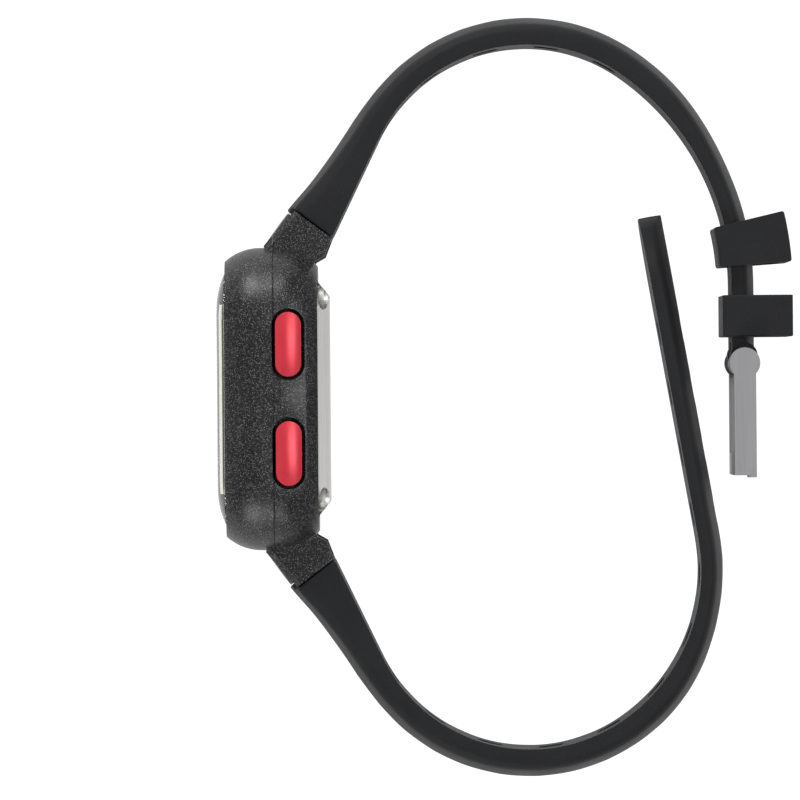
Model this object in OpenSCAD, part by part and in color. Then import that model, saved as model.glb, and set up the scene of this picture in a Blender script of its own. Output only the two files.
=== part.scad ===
// Digital sports watch with a rubber strap, lying on its 9 o'clock side.
// Design frame, in millimetres: X runs from the dial towards the wrist,
// Y towards 12 o'clock and Z towards 3 o'clock. X is 0 at the front rim of the case.

/* [Case] */
// Height of the case, from 6 to 12 o'clock
case_h = 33.4; // [31:0.1:38]
// Width of the case, from 9 to 3 o'clock
case_w = 33.0; // [31:0.1:38]
// Thickness of the plastic case
case_t = 10.2; // [9.8:0.1:12]
// Radius of the corners, seen from the front
case_corner_r = 8; // [7:0.1:9]
// Radius of the rounding on the front edge
front_edge_r = 5.8; // [5.2:0.1:7]
// Depth that the front rounding takes
front_edge_t = 3.9; // [3.4:0.1:4.2]
// Radius of the rounding on the rear edge
rear_edge_r = 5.0; // [4.5:0.1:6]
// Depth that the rear rounding takes
rear_edge_t = 4.0; // [3.5:0.1:4.2]
// Thickness of the walls beside the cavity
case_wall = 4.6; // [4.4:0.1:5]

/* [Crystal] */
// Height that the crystal stands above the front rim
crystal_proud = 0.95; // [0.6:0.05:1.4]
// Distance of the crystal from the sides of the case
crystal_rim = 2.9; // [2.7:0.1:3.4]
// Depth of the crystal's edge inside the case
crystal_seat = 1.3; // [1:0.05:1.5]
// Width of the curved border of the crystal
crystal_border = 3.8; // [3:0.1:4.4]
// Drop of the curved border at its edge
crystal_drop = 0.85; // [0.4:0.05:0.9]
// Corner radius of the crystal
crystal_corner_r = 5; // [4.5:0.1:6]
// Thickness of the gasket behind the crystal
crystal_gasket_t = 0.5; // [0.4:0.05:0.7]
// Width of the gasket behind the crystal
crystal_gasket_w = 0.75; // [0.6:0.05:1.2]
// Border round the display window at 12 and 6 o'clock
mask_border_h = 3.6; // [3.4:0.1:4.4]
// Border round the display window at 3 and 9 o'clock
mask_border_w = 4.4; // [4.2:0.1:6.1]

/* [Lugs] */
// Depth at which the outer face of a lug leaves the case
lug_root_x = 4.33; // [4:0.05:5]
// Depth of the outer tip of a lug
lug_tip_x = 7.73; // [7.3:0.05:8.2]
// Height of the outer tip of a lug above the end of the case
lug_rise = 4.06; // [3.9:0.02:4.5]
// Thickness of the lug where it meets the strap
lug_end_t = 5.11; // [4.9:0.01:5.4]
// Angle at which the strap leaves the lug
lug_angle = 53.13; // [51:0.1:55]
// Width over both cheeks of a lug
lug_w = 22; // [20:0.1:23]
// Thickness of each cheek
cheek_t = 2.5; // [2.2:0.1:3]
// Distance of the spring bar from the end of the lug
bar_depth = 1.6; // [1.5:0.05:1.8]
// Thickness of the metal plate between the cheeks
plate_t = 0.75; // [0.5:0.05:0.9]
// Height of the plate above the cheeks at the strap
plate_proud = 0.4; // [0.2:0.05:0.6]
// Width of the chamfer along a cheek's outer edge
cheek_bevel = 0.6; // [0.3:0.05:0.9]

/* [Buttons] */
// Depth of the centre line of the buttons
button_x = 7.0; // [6.6:0.05:7.2]
// Height of the button centres above and below the middle
button_y = 6.0; // [5:0.1:7]
// Length of a button cap
button_len = 7.1; // [6:0.1:8]
// Width of a button cap
button_wid = 2.85; // [2.8:0.05:3.1]
// Gap around a cap in its pocket
button_gap = 0.4; // [0.2:0.05:0.45]
// Thickness of a cap
cap_t = 1.25; // [1.1:0.05:1.3]
// Travel of a button
button_travel = 0.6; // [0.3:0.05:0.6]
// Diameter of a button stem
stem_d = 1.5; // [1.3:0.05:1.6]
// Wire thickness of a button spring
button_wire = 0.2; // [0.15:0.01:0.25]

/* [Back] */
// Overlap of the steel back beyond the cavity at 12 and 6 o'clock
back_lap_h = 0.9; // [0.85:0.05:1.3]
// Overlap of the steel back beyond the cavity at 3 and 9 o'clock
back_lap_w = 1.4; // [0.9:0.05:1.6]
// Width of the back's bevel at 12 and 6 o'clock
back_bevel_h = 1.6; // [1.3:0.1:2.6]
// Width of the back's bevel at 3 and 9 o'clock
back_bevel_w = 3.3; // [2.8:0.1:4.5]
// Height of the back behind the case
back_t = 1.3; // [1.1:0.05:1.6]
// Depth that the back sinks into the case
back_seat = 0.6; // [0.5:0.05:0.8]
// Distance of the back screws from the back's edge at 12 and 6 o'clock
screw_inset_h = 1.9; // [1.7:0.05:2.1]
// Distance of the back screws from the back's edge at 3 and 9 o'clock
screw_inset_w = 1.7; // [1.6:0.05:1.9]
// Diameter of a back screw head
screw_head_d = 2.1; // [1.8:0.05:2.2]
// Diameter of a back screw thread
screw_d = 1.2; // [1:0.05:1.3]

/* [Strap] */
// Width of the strap at its narrow end
strap_end_w = 18; // [16:0.1:19]
// Thickness of the strap at the lug
strap_lug_t = 5.84; // [5.6:0.02:6.2]
// Thickness of the strap round the wrist
strap_t = 3.2; // [2.9:0.05:3.5]
// Thickness of the strap at its ends
strap_end_t = 2.6; // [2.3:0.05:2.9]
// Rise of the crowned outer face over its edges
strap_crown = 1.05; // [0.6:0.05:1.3]
// Inner radius of the strap's bend next to the case
wrist_r = 18.1; // [17:0.1:19]
// Depth of that bend's centre behind the case
wrist_x = 23.25; // [22:0.05:24]
// Height of that bend's centre above the end of the case
wrist_y = 4.1; // [3.5:0.1:5]
// Angle at which the first bend gives way to the second
bend_angle = 55; // [50:1:60]
// Inner radius of the upper strap's second bend
upper_r = 28.5; // [28:0.1:30]
// Inner radius of the lower strap's second bend
lower_r = 20; // [19:0.1:20.4]
// Straight length of the upper strap before the buckle
upper_straight = 8.7; // [8:0.1:10]
// Straight length of the lower strap at its tip
lower_straight = 36; // [30:0.1:36]
// Lean of the lower strap's tip towards the case
tip_lean = 10; // [10:0.5:14]
// Length of the strap's tongue between the cheeks
tongue_len = 0.45; // [0.2:0.05:0.6]
// Length of a slot along the strap
slot_len = 2.8; // [2:0.1:3.2]
// Width of a slot across the strap
slot_wid = 7; // [5:0.1:8]
// Distance between slots along the inner face
slot_pitch = 6.82; // [6:0.02:7.5]
// Distance of the first slot from the lug
slot_first = 14.2; // [13:0.1:16]
// Slots in the upper strap
upper_slots = 5; // [3:1:5]
// Slots in the lower strap
lower_slots = 12; // [8:1:12]

/* [Buckle] */
// Thickness of the buckle frame
buckle_t = 2.4; // [2.2:0.1:2.8]
// Reach of the buckle frame from its pin
buckle_reach = 12.4; // [12:0.1:13]
// Width of the buckle frame's bars
buckle_bar = 2.4; // [2:0.1:2.8]
// Diameter of the buckle pin
buckle_pin_d = 1.4; // [1.2:0.05:1.5]
// Width of the prong
prong_w = 4.6; // [3:0.1:5]
// Thickness of the prong
prong_t = 1.0; // [0.8:0.05:1.1]
// Length of each keeper along the strap
keeper_len = 4.6; // [4:0.1:5]
// Wall thickness of a keeper
keeper_wall = 1.0; // [0.8:0.05:1.2]
// Room in a keeper beside one layer of strap
keeper_room = 3.1; // [2.8:0.05:3.4]

/* [Module] */
// Gap between the module and the case at 12 and 6 o'clock
module_gap = 0.5; // [0.3:0.1:0.8]
// Room for the button stems on each side of the module
stem_room = 1.7; // [1.6:0.1:1.9]
// Thickness of the module's outer wall
module_wall = 0.7; // [0.5:0.05:0.8]
// Diameter of the coin cell
cell_d = 16; // [14:0.1:16]
// Thickness of the coin cell
cell_t = 1.6; // [1.2:0.1:1.6]
// Diameter of the buzzer disc
buzzer_d = 19; // [18.6:0.1:20]

/* [Fits] */
// Radial clearance of pins and stems that turn or slide
run_gap = 0.03; // [0.02:0.01:0.06]
// Gap between fixed pieces that face each other
fixed_gap = 0.05; // [0.02:0.01:0.1]
// Gap between a strap's shoulders and its lug
shoulder_gap = 0.15; // [0.12:0.01:0.3]

/* [Hidden] */
$fn = 48;
half_h = case_h / 2;
half_w = case_w / 2;
flat_t = case_t - front_edge_t - rear_edge_t;
over = 1;

SIDES = ["right", "left"];
HALVES = ["upper", "lower"];

// Stack of pieces inside the case, as depths from the front rim
crystal_h = case_h - 2 * crystal_rim;
crystal_w = case_w - 2 * crystal_rim;
crystal_rear = crystal_seat;
ledge_x = crystal_rear + crystal_gasket_t;
seat_gap = 0.1;
mask_t = 0.2;
mask_rear = crystal_rear + mask_t;
mask_inset = crystal_gasket_w + seat_gap;
window_r = 1.5;
lcd_t = 1.4;
lcd_gap = 0.2;
lcd_x = mask_rear + lcd_gap;
lcd_rear = lcd_x + lcd_t;
light_t = 0.8;
web_x = lcd_rear + light_t;
web_t = 1.1;
board_x = web_x + web_t;
board_t = 0.8;
board_rear = board_x + board_t;
chip_t = 0.8;
chip_r = 3.2;
holder_room = 1.0;
holder_floor_x = board_rear + holder_room;
holder_floor_t = 0.2;
cell_x = holder_floor_x + holder_floor_t;
cell_rear = cell_x + cell_t;
clip_sheet = 0.2;
back_x = case_t - back_seat;
buzzer_t = 0.25;
buzzer_x = back_x - buzzer_t;
module_rear_gap = 0.5;
module_rear = back_x - module_rear_gap;

// Cavity and gasket run inside the corner screws
cavity_h = case_h - 2 * case_wall;
cavity_w = case_w - 2 * case_wall;
corner_step = 0.7;
cavity_r = case_corner_r - corner_step;
front_cavity_r = 3;
gasket_w = 0.7;
gasket_t = 0.5;
back_h = cavity_h + 2 * back_lap_h;
back_w = cavity_w + 2 * back_lap_w;
back_r = 4;
screw_y = back_h / 2 - screw_inset_h;
screw_z = back_w / 2 - screw_inset_w;

// Module inside the cavity, and the pieces inside it
module_h = cavity_h - 2 * module_gap;
module_w = cavity_w - 2 * stem_room;
inner_h = module_h - 2 * module_wall;
inner_w = module_w - 2 * module_wall;
module_corner_step = 2.5;
module_r = cavity_r - module_corner_step;
display_r = 1.4;
strip_w = 1.2;
strip_inset = 0.3;
strip_end = 2.1;
light_gap = 1.0;
light_side = 0.5;
light_r = 0.6;
holder_wall = 0.35;
holder_r = cell_d / 2 + fixed_gap + holder_wall;
clip_leg_at = holder_r + fixed_gap;
clip_band = 4;
holder_ledge = 2;
cell_y = 0.6;
cell_step = 1.5;
cell_cap_t = 0.25;
pad_side = cell_d - 2 * cell_step;
pad_r = 2;
holder_below = 0.2;
contact_r = 0.4;
contact_wire = 0.2;
contact_at = holder_r + contact_r + contact_wire / 2 + fixed_gap;
contact_angle = 26;
quartz_r = 0.7;
quartz_len = 6;
quartz_gap = 0.4;

// Lug points in the X-Y plane of the upper side
along = [cos(lug_angle), sin(lug_angle)];
outward = [-sin(lug_angle), cos(lug_angle)];
lug_tip = [lug_tip_x, half_h + lug_rise];
lug_inner = lug_tip - lug_end_t * outward;
lug_mid = (lug_tip + lug_inner) / 2;
bar_at = lug_mid - bar_depth * along;
cheek_in = lug_w / 2 - cheek_t;

// Spring bars
bar_r = 0.9;
bar_bore_r = 0.55;
tip_r = bar_bore_r - run_gap;
tip_in_lug = 1.0;
tip_travel = 1.1;
tube_side_gap = 0.3;
tube_half = cheek_in - tube_side_gap;
tip_len = 4.0;
tip_end = cheek_in + tip_in_lug;
bar_wire = 0.2;
tab_r = 1.5;
tab_root = 0.8;
tongue_inset = 0.05;
tab_side_gap = 0.2;
tab_half = cheek_in - tab_side_gap;
root_rise = 0.2;
lug_root = [lug_root_x, half_h + root_rise];
lug_run = lug_tip - lug_root;
heel = [0.87, -0.94];
toe = [-0.18, -1.54];
foot_depth = 3.2;

// Path of the strap's inner face
path_start = lug_inner + shoulder_gap * along;
bend_at = [case_t + wrist_x, half_h + wrist_y];
to_bend = bend_at - path_start;
path_turn = asin(wrist_r / norm(to_bend));
first_heading = atan2(to_bend[1], to_bend[0]) + path_turn;
line_len = sqrt(to_bend * to_bend - wrist_r * wrist_r);
first_angle = first_heading + 90;
bend_len = arc_len(wrist_r, first_angle - bend_angle);
upper_turn = bend_angle;
lower_turn = bend_angle + tip_lean;
upper_len = line_len + bend_len + arc_len(upper_r, upper_turn) + upper_straight;
lower_len = line_len + bend_len + arc_len(lower_r, lower_turn) + lower_straight;
upper_centre = second_centre(upper_r);
buckle_at = [upper_centre[0] + upper_r + strap_end_t / 2, upper_centre[1] - upper_straight];
buckle_eye_r = 1.5;
boss_r = 1.7;
pin_bore_r = buckle_pin_d / 2 + run_gap;
pin_inset = 0.8;
pin_end_gap = 0.1;
frame_side_gap = 0.3;
frame_in_w = strap_end_w / 2 + frame_side_gap;
frame_out_w = frame_in_w + buckle_bar;
prong_side_gap = 0.35;
prong_notch = prong_w / 2 + prong_side_gap;
notch_depth = 2.2;
prong_over = 0.3;
keeper_play = 0.25;
keeper_drop = 1.2;

// Buttons, as distances from the middle towards a side
cap_below = 0.05;
cap_top = half_w - cap_below;
cap_floor = cap_top - cap_t;
button_turns = 2.5;
pocket_floor = cap_floor - button_travel - button_turns * button_wire;
gland_r = 1.25;
gland_t = 0.75;
stem_r = stem_d / 2;
leaf_t = 0.15;
leaf_len = 2;
leaf_w = 2.4;
stem_end = module_w / 2 + leaf_t + fixed_gap + button_travel;
coil_gap = 0.02;
clip_t = 0.28;
clip_r = 1.3;
clip_slit = 0.9;
groove_depth = 0.2;
stem_root = 0.2;
clip_groove_r = stem_r - groove_depth;
clip_top = cavity_w / 2 - coil_gap;
screw_head_t = 0.75;
screw_len = 4.2;
screw_head_gap = 0.25;
screw_hole_gap = 0.1;
screw_end_gap = 0.3;
module_screw_r = 0.35;
module_head_r = 0.75;
module_head_t = 0.5;
module_screw_end = 0.2;
module_screw_inset_h = 3.6;
module_screw_inset_w = 1.0;
module_screw_y = inner_h / 2 - module_screw_inset_h;
module_screw_z = inner_w / 2 - module_screw_inset_w;

// The part's origin is at the middle of its box, on the surface below
strap_top = bend_at[1] + wrist_r + strap_t;
keeper_outer = upper_centre[0] + upper_r + strap_end_t + keeper_room + keeper_wall;
origin = [(keeper_outer - crystal_proud) / 2, 0, -half_w];

function arc_len(r, angle) = r * angle * PI / 180;

function second_centre(r) = bend_at + (wrist_r - r) * [cos(bend_angle), sin(bend_angle)];

// Point and heading of the inner face, s millimetres from the lug
function path(s, r, turn) =
    s < line_len
        ? [path_start + s * [cos(first_heading), sin(first_heading)], first_heading]
    : s < line_len + bend_len
        ? on_arc(bend_at, wrist_r, first_angle - (s - line_len) / wrist_r * 180 / PI)
    : s < line_len + bend_len + arc_len(r, turn)
        ? on_arc(second_centre(r), r, bend_angle - (s - line_len - bend_len) / r * 180 / PI)
    : straight_end(s - line_len - bend_len - arc_len(r, turn), r, bend_angle - turn);

function on_arc(centre, r, angle) = [centre + r * [cos(angle), sin(angle)], angle - 90];

function straight_end(s, r, angle) =
    [second_centre(r) + r * [cos(angle), sin(angle)] + s * [sin(angle), -cos(angle)], angle - 90];

function ease(t) = let (c = max(0, min(1, t))) c * c * (3 - 2 * c);

// Lengths over which the strap's thickness, crown and width change
root_len = 17;
root_power = 1.6;
thin_from = 46;
thin_len = 14;
crown_dip = 0.32;
crown_len = 12;
narrow_len = 16;
taper_len = 60;
skew_len = 5;
section_edge = 0.2;
section_n = 15;

// Thickness, crown and width of the strap, s millimetres from the lug
function thick_at(s) =
    strap_t + (strap_lug_t - strap_t) * pow(max(0, 1 - s / root_len), root_power)
    - (strap_t - strap_end_t) * ease((s - thin_from) / thin_len);
function crown_at(s) = min(strap_crown, thick_at(s) / 2) - crown_dip * (1 - ease(s / crown_len));
function width_at(s) =
    strap_end_w + (lug_w - strap_end_w) / 2 * (2 - ease(s / narrow_len) - ease(s / taper_len));

// The end face lies along the lug, and the sections turn square to the path within a few millimetres
function skew_at(s) = (first_heading - lug_angle) * (1 - ease(s / skew_len));

// One section of the strap: across the strap and out from the inner face, up to half on each side
function section(w, half, t, crown) = [
    [half - section_edge, 0], [half, section_edge],
    for (k = [0:10]) let (z = half * cos(k * 18)) [z, t - crown + crown * (1 - pow(2 * z / w, 2))],
    [-half, section_edge], [-half + section_edge, 0]
];

function place(p, at, normal) = [for (q = p) [at[0] + q[1] * cos(normal), at[1] + q[1] * sin(normal), q[0]]];

function ring(s, w, half, inset, r, turn) =
    let (p = path(s, r, turn), normal = p[1] + 90 - skew_at(s))
    place(section(w, half, thick_at(s) - 2 * inset, crown_at(s)),
        p[0] + inset * [cos(normal), sin(normal)], normal);

// Stations along the strap, with the width at each: the tip is rounded where round_end is above 0
function stations(len, round_end) = [
    for (k = [0:40]) let (s = (len - round_end) * k / 40) [s, width_at(s)],
    for (k = [1:round_end > 0 ? 7 : 0]) let (a = k * 12)
        [len - round_end + round_end * sin(a), width_at(len) * cos(a)]
];

module loft(rings) {
    n = len(rings);
    polyhedron([for (one = rings) each one], [
        [for (k = [0:section_n - 1]) section_n - 1 - k],
        [for (k = [0:section_n - 1]) (n - 1) * section_n + k],
        for (i = [0:n - 2]) for (k = [0:section_n - 1])
            let (a = i * section_n + k, b = i * section_n + (k + 1) % section_n)
            [a, b, b + section_n, a + section_n]
    ]);
}

module strap_body(len, round_end, r, turn)
    loft([for (row = stations(len, round_end)) ring(row[0], row[1], row[1] / 2, 0, r, turn)]);

// The strap's full depth goes on between the cheeks, up to the plate
module strap_tongue(r, turn)
    loft([for (s = [-tongue_len - shoulder_gap, tab_root])
        ring(s, width_at(0), tab_half - tongue_inset, tongue_inset, r, turn)]);

// A flat piece between two depths, from an outline in the Y-Z plane
module plate(x0, x1) translate([x0, 0, 0]) rotate([90, 0, 90]) linear_extrude(x1 - x0) children();

module rounded(h, w, r) {
    square([h, w - 2 * r], center = true);
    square([h - 2 * r, w], center = true);
    for (a = [-1, 1], b = [-1, 1]) translate([a * (h / 2 - r), b * (w / 2 - r)]) circle(r);
}

module frame_outline(h, w, r, wall) {
    difference() {
        rounded(h, w, r);
        rounded(h - 2 * wall, w - 2 * wall, r - wall);
    }
}

// A block with rounded corners whose edge follows a profile: out from the corner's centre, and depth
module swept_block(h, w, r, x0, x1) {
    cy = h / 2 - r;
    cz = w / 2 - r;
    plate(x0, x1) square([2 * cy, 2 * cz], center = true);
    for (m = [0, 1]) {
        mirror([0, m, 0]) translate([0, cy, 0]) rotate([180, 0, 90])
            linear_extrude(2 * cz, center = true) children();
        mirror([0, 0, m]) translate([0, 0, cz]) rotate([-90, -90, 0])
            linear_extrude(2 * cy, center = true) children();
    }
    for (q = [0:3]) {
        a = q == 0 || q == 3 ? 1 : -1;
        b = q < 2 ? 1 : -1;
        translate([0, a * cy, b * cz]) rotate([90, 0, 90]) rotate([0, 0, q * 90])
            rotate_extrude(angle = 90) children();
    }
}

module case_edge(reach) {
    intersection() {
        square([reach, case_t]);
        union() {
            translate([0, front_edge_t]) square([reach, flat_t]);
            translate([reach - front_edge_r, front_edge_t]) circle(front_edge_r, $fn = 96);
            translate([reach - rear_edge_r, case_t - rear_edge_t]) circle(rear_edge_r, $fn = 96);
        }
    }
}

module on_side(side) mirror([0, 0, side == "left" ? 1 : 0]) children();

module on_half(half) mirror([0, half == "lower" ? 1 : 0, 0]) children();

module at_button(side, half) on_side(side) on_half(half) translate([button_x, button_y, 0]) children();

// An axis along Z from one distance to another
module post(z0, z1, r) translate([0, 0, z0]) cylinder(z1 - z0, r, r);

module pill(len, wid) {
    square([wid, len - wid], center = true);
    for (m = [-1, 1]) translate([0, m * (len - wid) / 2]) circle(wid / 2);
}

module cheek_outline() {
    case_corner = [case_t, half_h];
    polygon([
        lug_root, lug_tip, lug_inner, case_corner + heel, case_corner + toe,
        [case_t - 1.2, half_h - foot_depth], [lug_root_x + 0.7, half_h - foot_depth]
    ]);
}

module cheek() difference() {
    linear_extrude(cheek_t) cheek_outline();
    translate([lug_root[0], lug_root[1], cheek_t]) rotate([0, 0, atan2(lug_run[1], lug_run[0])]) rotate([45, 0, 0])
        cube([3 * norm(lug_run), sqrt(2) * cheek_bevel, sqrt(2) * cheek_bevel], center = true);
}

// A helix of round wire along Z
module coil(z0, z1, r, wire, turns) {
    sides = 6;
    steps = ceil(turns * 14);
    rise = z1 - z0 - wire;
    points = [
        for (i = [0:steps]) let (a = turns * 360 * i / steps, z = z0 + wire / 2 + rise * i / steps)
            for (k = [0:sides - 1]) let (q = k * 360 / sides, d = r + wire / 2 * cos(q))
                [d * cos(a), d * sin(a), z + wire / 2 * sin(q)]
    ];
    polyhedron(points, [
        [for (k = [0:sides - 1]) sides - 1 - k],
        [for (k = [0:sides - 1]) steps * sides + k],
        for (i = [0:steps - 1]) for (k = [0:sides - 1])
            let (p = i * sides + k, q = i * sides + (k + 1) % sides) [p, q, q + sides, p + sides]
    ]);
}

module at_screws() for (a = [-1, 1], b = [-1, 1])
    translate([0, a * screw_y, b * screw_z]) rotate([0, 90, 0]) children();

module case_shell() color([0.11, 0.11, 0.12]) difference() {
    union() {
        swept_block(case_h, case_w, case_corner_r, 0, case_t) case_edge(case_corner_r);
        for (half = HALVES) on_half(half) for (side = SIDES) on_side(side)
            translate([0, 0, cheek_in]) cheek();
    }
    plate(-over, ledge_x) rounded(crystal_h + 2 * fixed_gap, crystal_w + 2 * fixed_gap, crystal_corner_r);
    plate(ledge_x - over, board_x) rounded(cavity_h, cavity_w, front_cavity_r);
    plate(board_x - over, case_t + over) rounded(cavity_h, cavity_w, cavity_r);
    plate(back_x - gasket_t, case_t + over) rounded(
        cavity_h + 2 * gasket_w + 4 * fixed_gap, cavity_w + 2 * gasket_w + 4 * fixed_gap, cavity_r + gasket_w);
    plate(back_x, case_t + over) rounded(back_h + 4 * fixed_gap, back_w + 4 * fixed_gap, back_r);
    at_screws() post(case_t - screw_len - screw_end_gap, case_t + over, screw_d / 2);
    for (side = SIDES, half = HALVES) at_button(side, half) {
        translate([0, 0, pocket_floor]) linear_extrude(half_w - pocket_floor + over)
            pill(button_len + 2 * button_gap, button_wid + 2 * button_gap);
        post(pocket_floor - gland_t, pocket_floor + over, gland_r);
        post(cavity_w / 2 - over, pocket_floor, stem_r + run_gap);
        post(cavity_w / 2 - over, cavity_w / 2, clip_r + 2 * fixed_gap);
    }
    for (half = HALVES, side = SIDES) on_half(half) on_side(side) translate(bar_at)
        post(cheek_in - over, tip_end + 2 * fixed_gap, tip_r + run_gap);
}

module crystal() color([0.75, 0.8, 0.82]) {
    dome_r = (crystal_border * crystal_border + crystal_drop * crystal_drop) / (2 * crystal_drop);
    swept_block(crystal_h, crystal_w, crystal_corner_r, -crystal_proud, crystal_rear) intersection() {
        translate([0, -crystal_proud]) square([crystal_corner_r, crystal_proud + crystal_rear]);
        union() {
            translate([0, -crystal_proud]) square([crystal_corner_r - crystal_border, crystal_proud + crystal_rear]);
            translate([crystal_corner_r - crystal_border, dome_r - crystal_proud]) circle(dome_r, $fn = 96);
        }
    }
}

module crystal_gasket() color([0.2, 0.2, 0.2])
    plate(crystal_rear, ledge_x) frame_outline(crystal_h, crystal_w, crystal_corner_r, crystal_gasket_w);

module dial_mask() color([0.05, 0.05, 0.06])
    plate(crystal_rear, mask_rear) difference() {
        rounded(crystal_h - 2 * mask_inset, crystal_w - 2 * mask_inset, crystal_corner_r - mask_inset);
        rounded(crystal_h - 2 * mask_border_h, crystal_w - 2 * mask_border_w, window_r);
    }

module lug_plate(half) color([0.75, 0.76, 0.77]) on_half(half) {
    n = [-lug_run[1], lug_run[0]] / norm(lug_run);
    plate_end = lug_tip - (tongue_len + shoulder_gap) * lug_run / norm(lug_run);
    translate([0, 0, fixed_gap - cheek_in]) linear_extrude(2 * (cheek_in - fixed_gap)) intersection() {
        polygon([
            lug_root - plate_t * n, lug_root, lug_root + 0.6 * lug_run + 0.75 * plate_proud * n,
            plate_end + plate_proud * n, plate_end - plate_t * n
        ]);
        translate([0, half_h + fixed_gap]) square([case_t, 2 * lug_rise]);
    }
}

module back_side(h, w, x_face) polygon([
    [back_x, -h / 2], [case_t, -h / 2], [x_face, -w / 2],
    [x_face, w / 2], [case_t, h / 2], [back_x, h / 2]
]);

module case_back() color([0.72, 0.71, 0.69]) difference() {
    intersection() {
        plate(back_x, case_t + back_t) rounded(back_h, back_w, back_r);
        linear_extrude(back_w + over, center = true)
            back_side(back_h, back_h - 2 * back_bevel_h, case_t + back_t);
        rotate([90, 0, 0]) linear_extrude(back_h + over, center = true)
            back_side(back_w, back_w - 2 * back_bevel_w, case_t + back_t);
    }
    at_screws() {
        post(back_x - over, case_t + back_t, screw_d / 2 + screw_hole_gap);
        post(case_t, case_t + back_t + over, screw_head_d / 2 + screw_head_gap);
    }
}

module back_gasket() color([0.15, 0.15, 0.15])
    plate(back_x - gasket_t, back_x)
        frame_outline(cavity_h + 2 * gasket_w, cavity_w + 2 * gasket_w, cavity_r + gasket_w, gasket_w - fixed_gap);

module cross_screw(head_x, head_r, head_t, shaft_r, shaft_len) {
    difference() {
        union() {
            post(head_x - shaft_len, head_x, shaft_r);
            post(head_x, head_x + head_t, head_r);
        }
        for (a = [0, 90]) rotate([0, 0, a]) translate([0, 0, head_x + head_t])
            cube([1.3 * head_r, 0.28 * head_r, head_t], center = true);
    }
}

module back_screws() color([0.8, 0.8, 0.8])
    at_screws() cross_screw(case_t, screw_head_d / 2, screw_head_t, screw_d / 2 - fixed_gap, screw_len);

module lcd_panel() color([0.6, 0.65, 0.6])
    plate(lcd_x, lcd_rear) rounded(inner_h - 2 * seat_gap, inner_w - 2 * seat_gap, display_r - module_wall - seat_gap);

module light_panel() color([0.9, 0.9, 0.85])
    plate(lcd_rear, web_x)
        rounded(inner_h - 2 * (strip_inset + strip_w + light_gap), inner_w - 2 * light_side, light_r);

module connector_outline(gap) for (m = [-1, 1]) translate([m * (inner_h / 2 - strip_inset - strip_w / 2), 0])
    square([strip_w + 2 * gap, inner_w - 2 * strip_end + 2 * gap], center = true);

module connector_strips() color([0.85, 0.5, 0.4]) plate(lcd_rear, board_x) connector_outline(0);

module at_module_screws() for (a = [-1, 1], b = [-1, 1])
    translate([0, a * module_screw_y, b * module_screw_z]) rotate([0, 90, 0]) children();

module module_frame() color([0.9, 0.9, 0.88]) difference() {
    union() {
        plate(mask_rear, board_x) frame_outline(module_h, module_w, display_r, module_wall);
        plate(web_x, board_x) rounded(module_h - module_wall, module_w - module_wall, display_r - module_wall / 2);
        plate(board_x - over, module_rear) frame_outline(module_h, module_w, module_r, module_wall);
    }
    plate(web_x - over, board_x + over) connector_outline(fixed_gap);
    at_module_screws() post(web_x - over, board_x + over, module_screw_r + fixed_gap);
}

module circuit_board() color([0.1, 0.35, 0.2]) difference() {
    plate(board_x, board_rear)
        rounded(inner_h - 2 * seat_gap, inner_w - 2 * seat_gap, module_r - module_wall - seat_gap);
    at_module_screws() post(board_x - over, board_rear + over, module_screw_r + 2 * fixed_gap);
}

module chip_cover() color([0.05, 0.05, 0.05]) translate([board_rear, 0, 0]) rotate([0, 90, 0]) {
    cylinder(chip_t / 2, chip_r, chip_r);
    translate([0, 0, chip_t / 2]) cylinder(chip_t / 2, chip_r, chip_r - chip_t);
}

module quartz_can() color([0.8, 0.8, 0.8])
    translate([board_rear + quartz_r, -inner_h / 2 + quartz_r + quartz_gap, -quartz_len / 2])
        post(0, quartz_len, quartz_r);

module module_screws() color([0.75, 0.75, 0.7]) at_module_screws()
    cross_screw(board_rear, module_head_r, module_head_t, module_screw_r, board_rear - web_x - module_screw_end);

module at_cell() translate([0, cell_y, 0]) rotate([0, 90, 0]) children();

module cell_holder() color([0.3, 0.3, 0.32]) at_cell() difference() {
    post(board_rear, cell_rear - holder_below, holder_r);
    post(cell_x, cell_rear, cell_d / 2 + fixed_gap);
    post(board_rear - over, cell_x + over, cell_d / 2 - holder_ledge);
}

module coin_cell() color([0.8, 0.8, 0.8]) at_cell() {
    post(cell_x, cell_x + cell_cap_t, cell_d / 2 - cell_step);
    post(cell_x + cell_cap_t, cell_rear, cell_d / 2);
}

module cell_clip() color([0.75, 0.75, 0.72]) translate([0, cell_y, 0]) rotate([-45, 0, 0]) {
    leg_out = clip_leg_at + clip_sheet;
    translate([cell_rear, -clip_band / 2, -leg_out]) cube([clip_sheet, clip_band, 2 * leg_out]);
    for (m = [0, 1]) mirror([0, 0, m]) translate([board_rear, -clip_band / 2, clip_leg_at])
        cube([cell_rear - board_rear + clip_sheet, clip_band, clip_sheet]);
}

module cushion_pad() color([0.25, 0.25, 0.28])
    plate(cell_rear + clip_sheet, buzzer_x) rounded(pad_side, pad_side, pad_r);

module buzzer_disc() color([0.8, 0.65, 0.3])
    translate([buzzer_x, 0, 0]) rotate([0, 90, 0]) cylinder(buzzer_t, buzzer_d / 2, buzzer_d / 2);

module buzzer_spring() color([0.85, 0.75, 0.4])
    translate([0, cell_y - contact_at * cos(contact_angle), contact_at * sin(contact_angle)])
        rotate([0, 90, 0]) coil(board_rear, buzzer_x, contact_r, contact_wire, 6);

module switch_leaves() color([0.8, 0.75, 0.6])
    for (side = SIDES, half = HALVES) at_button(side, half)
        translate([-leaf_len / 2, -leaf_w / 2, module_w / 2]) cube([leaf_len, leaf_w, leaf_t]);

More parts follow.
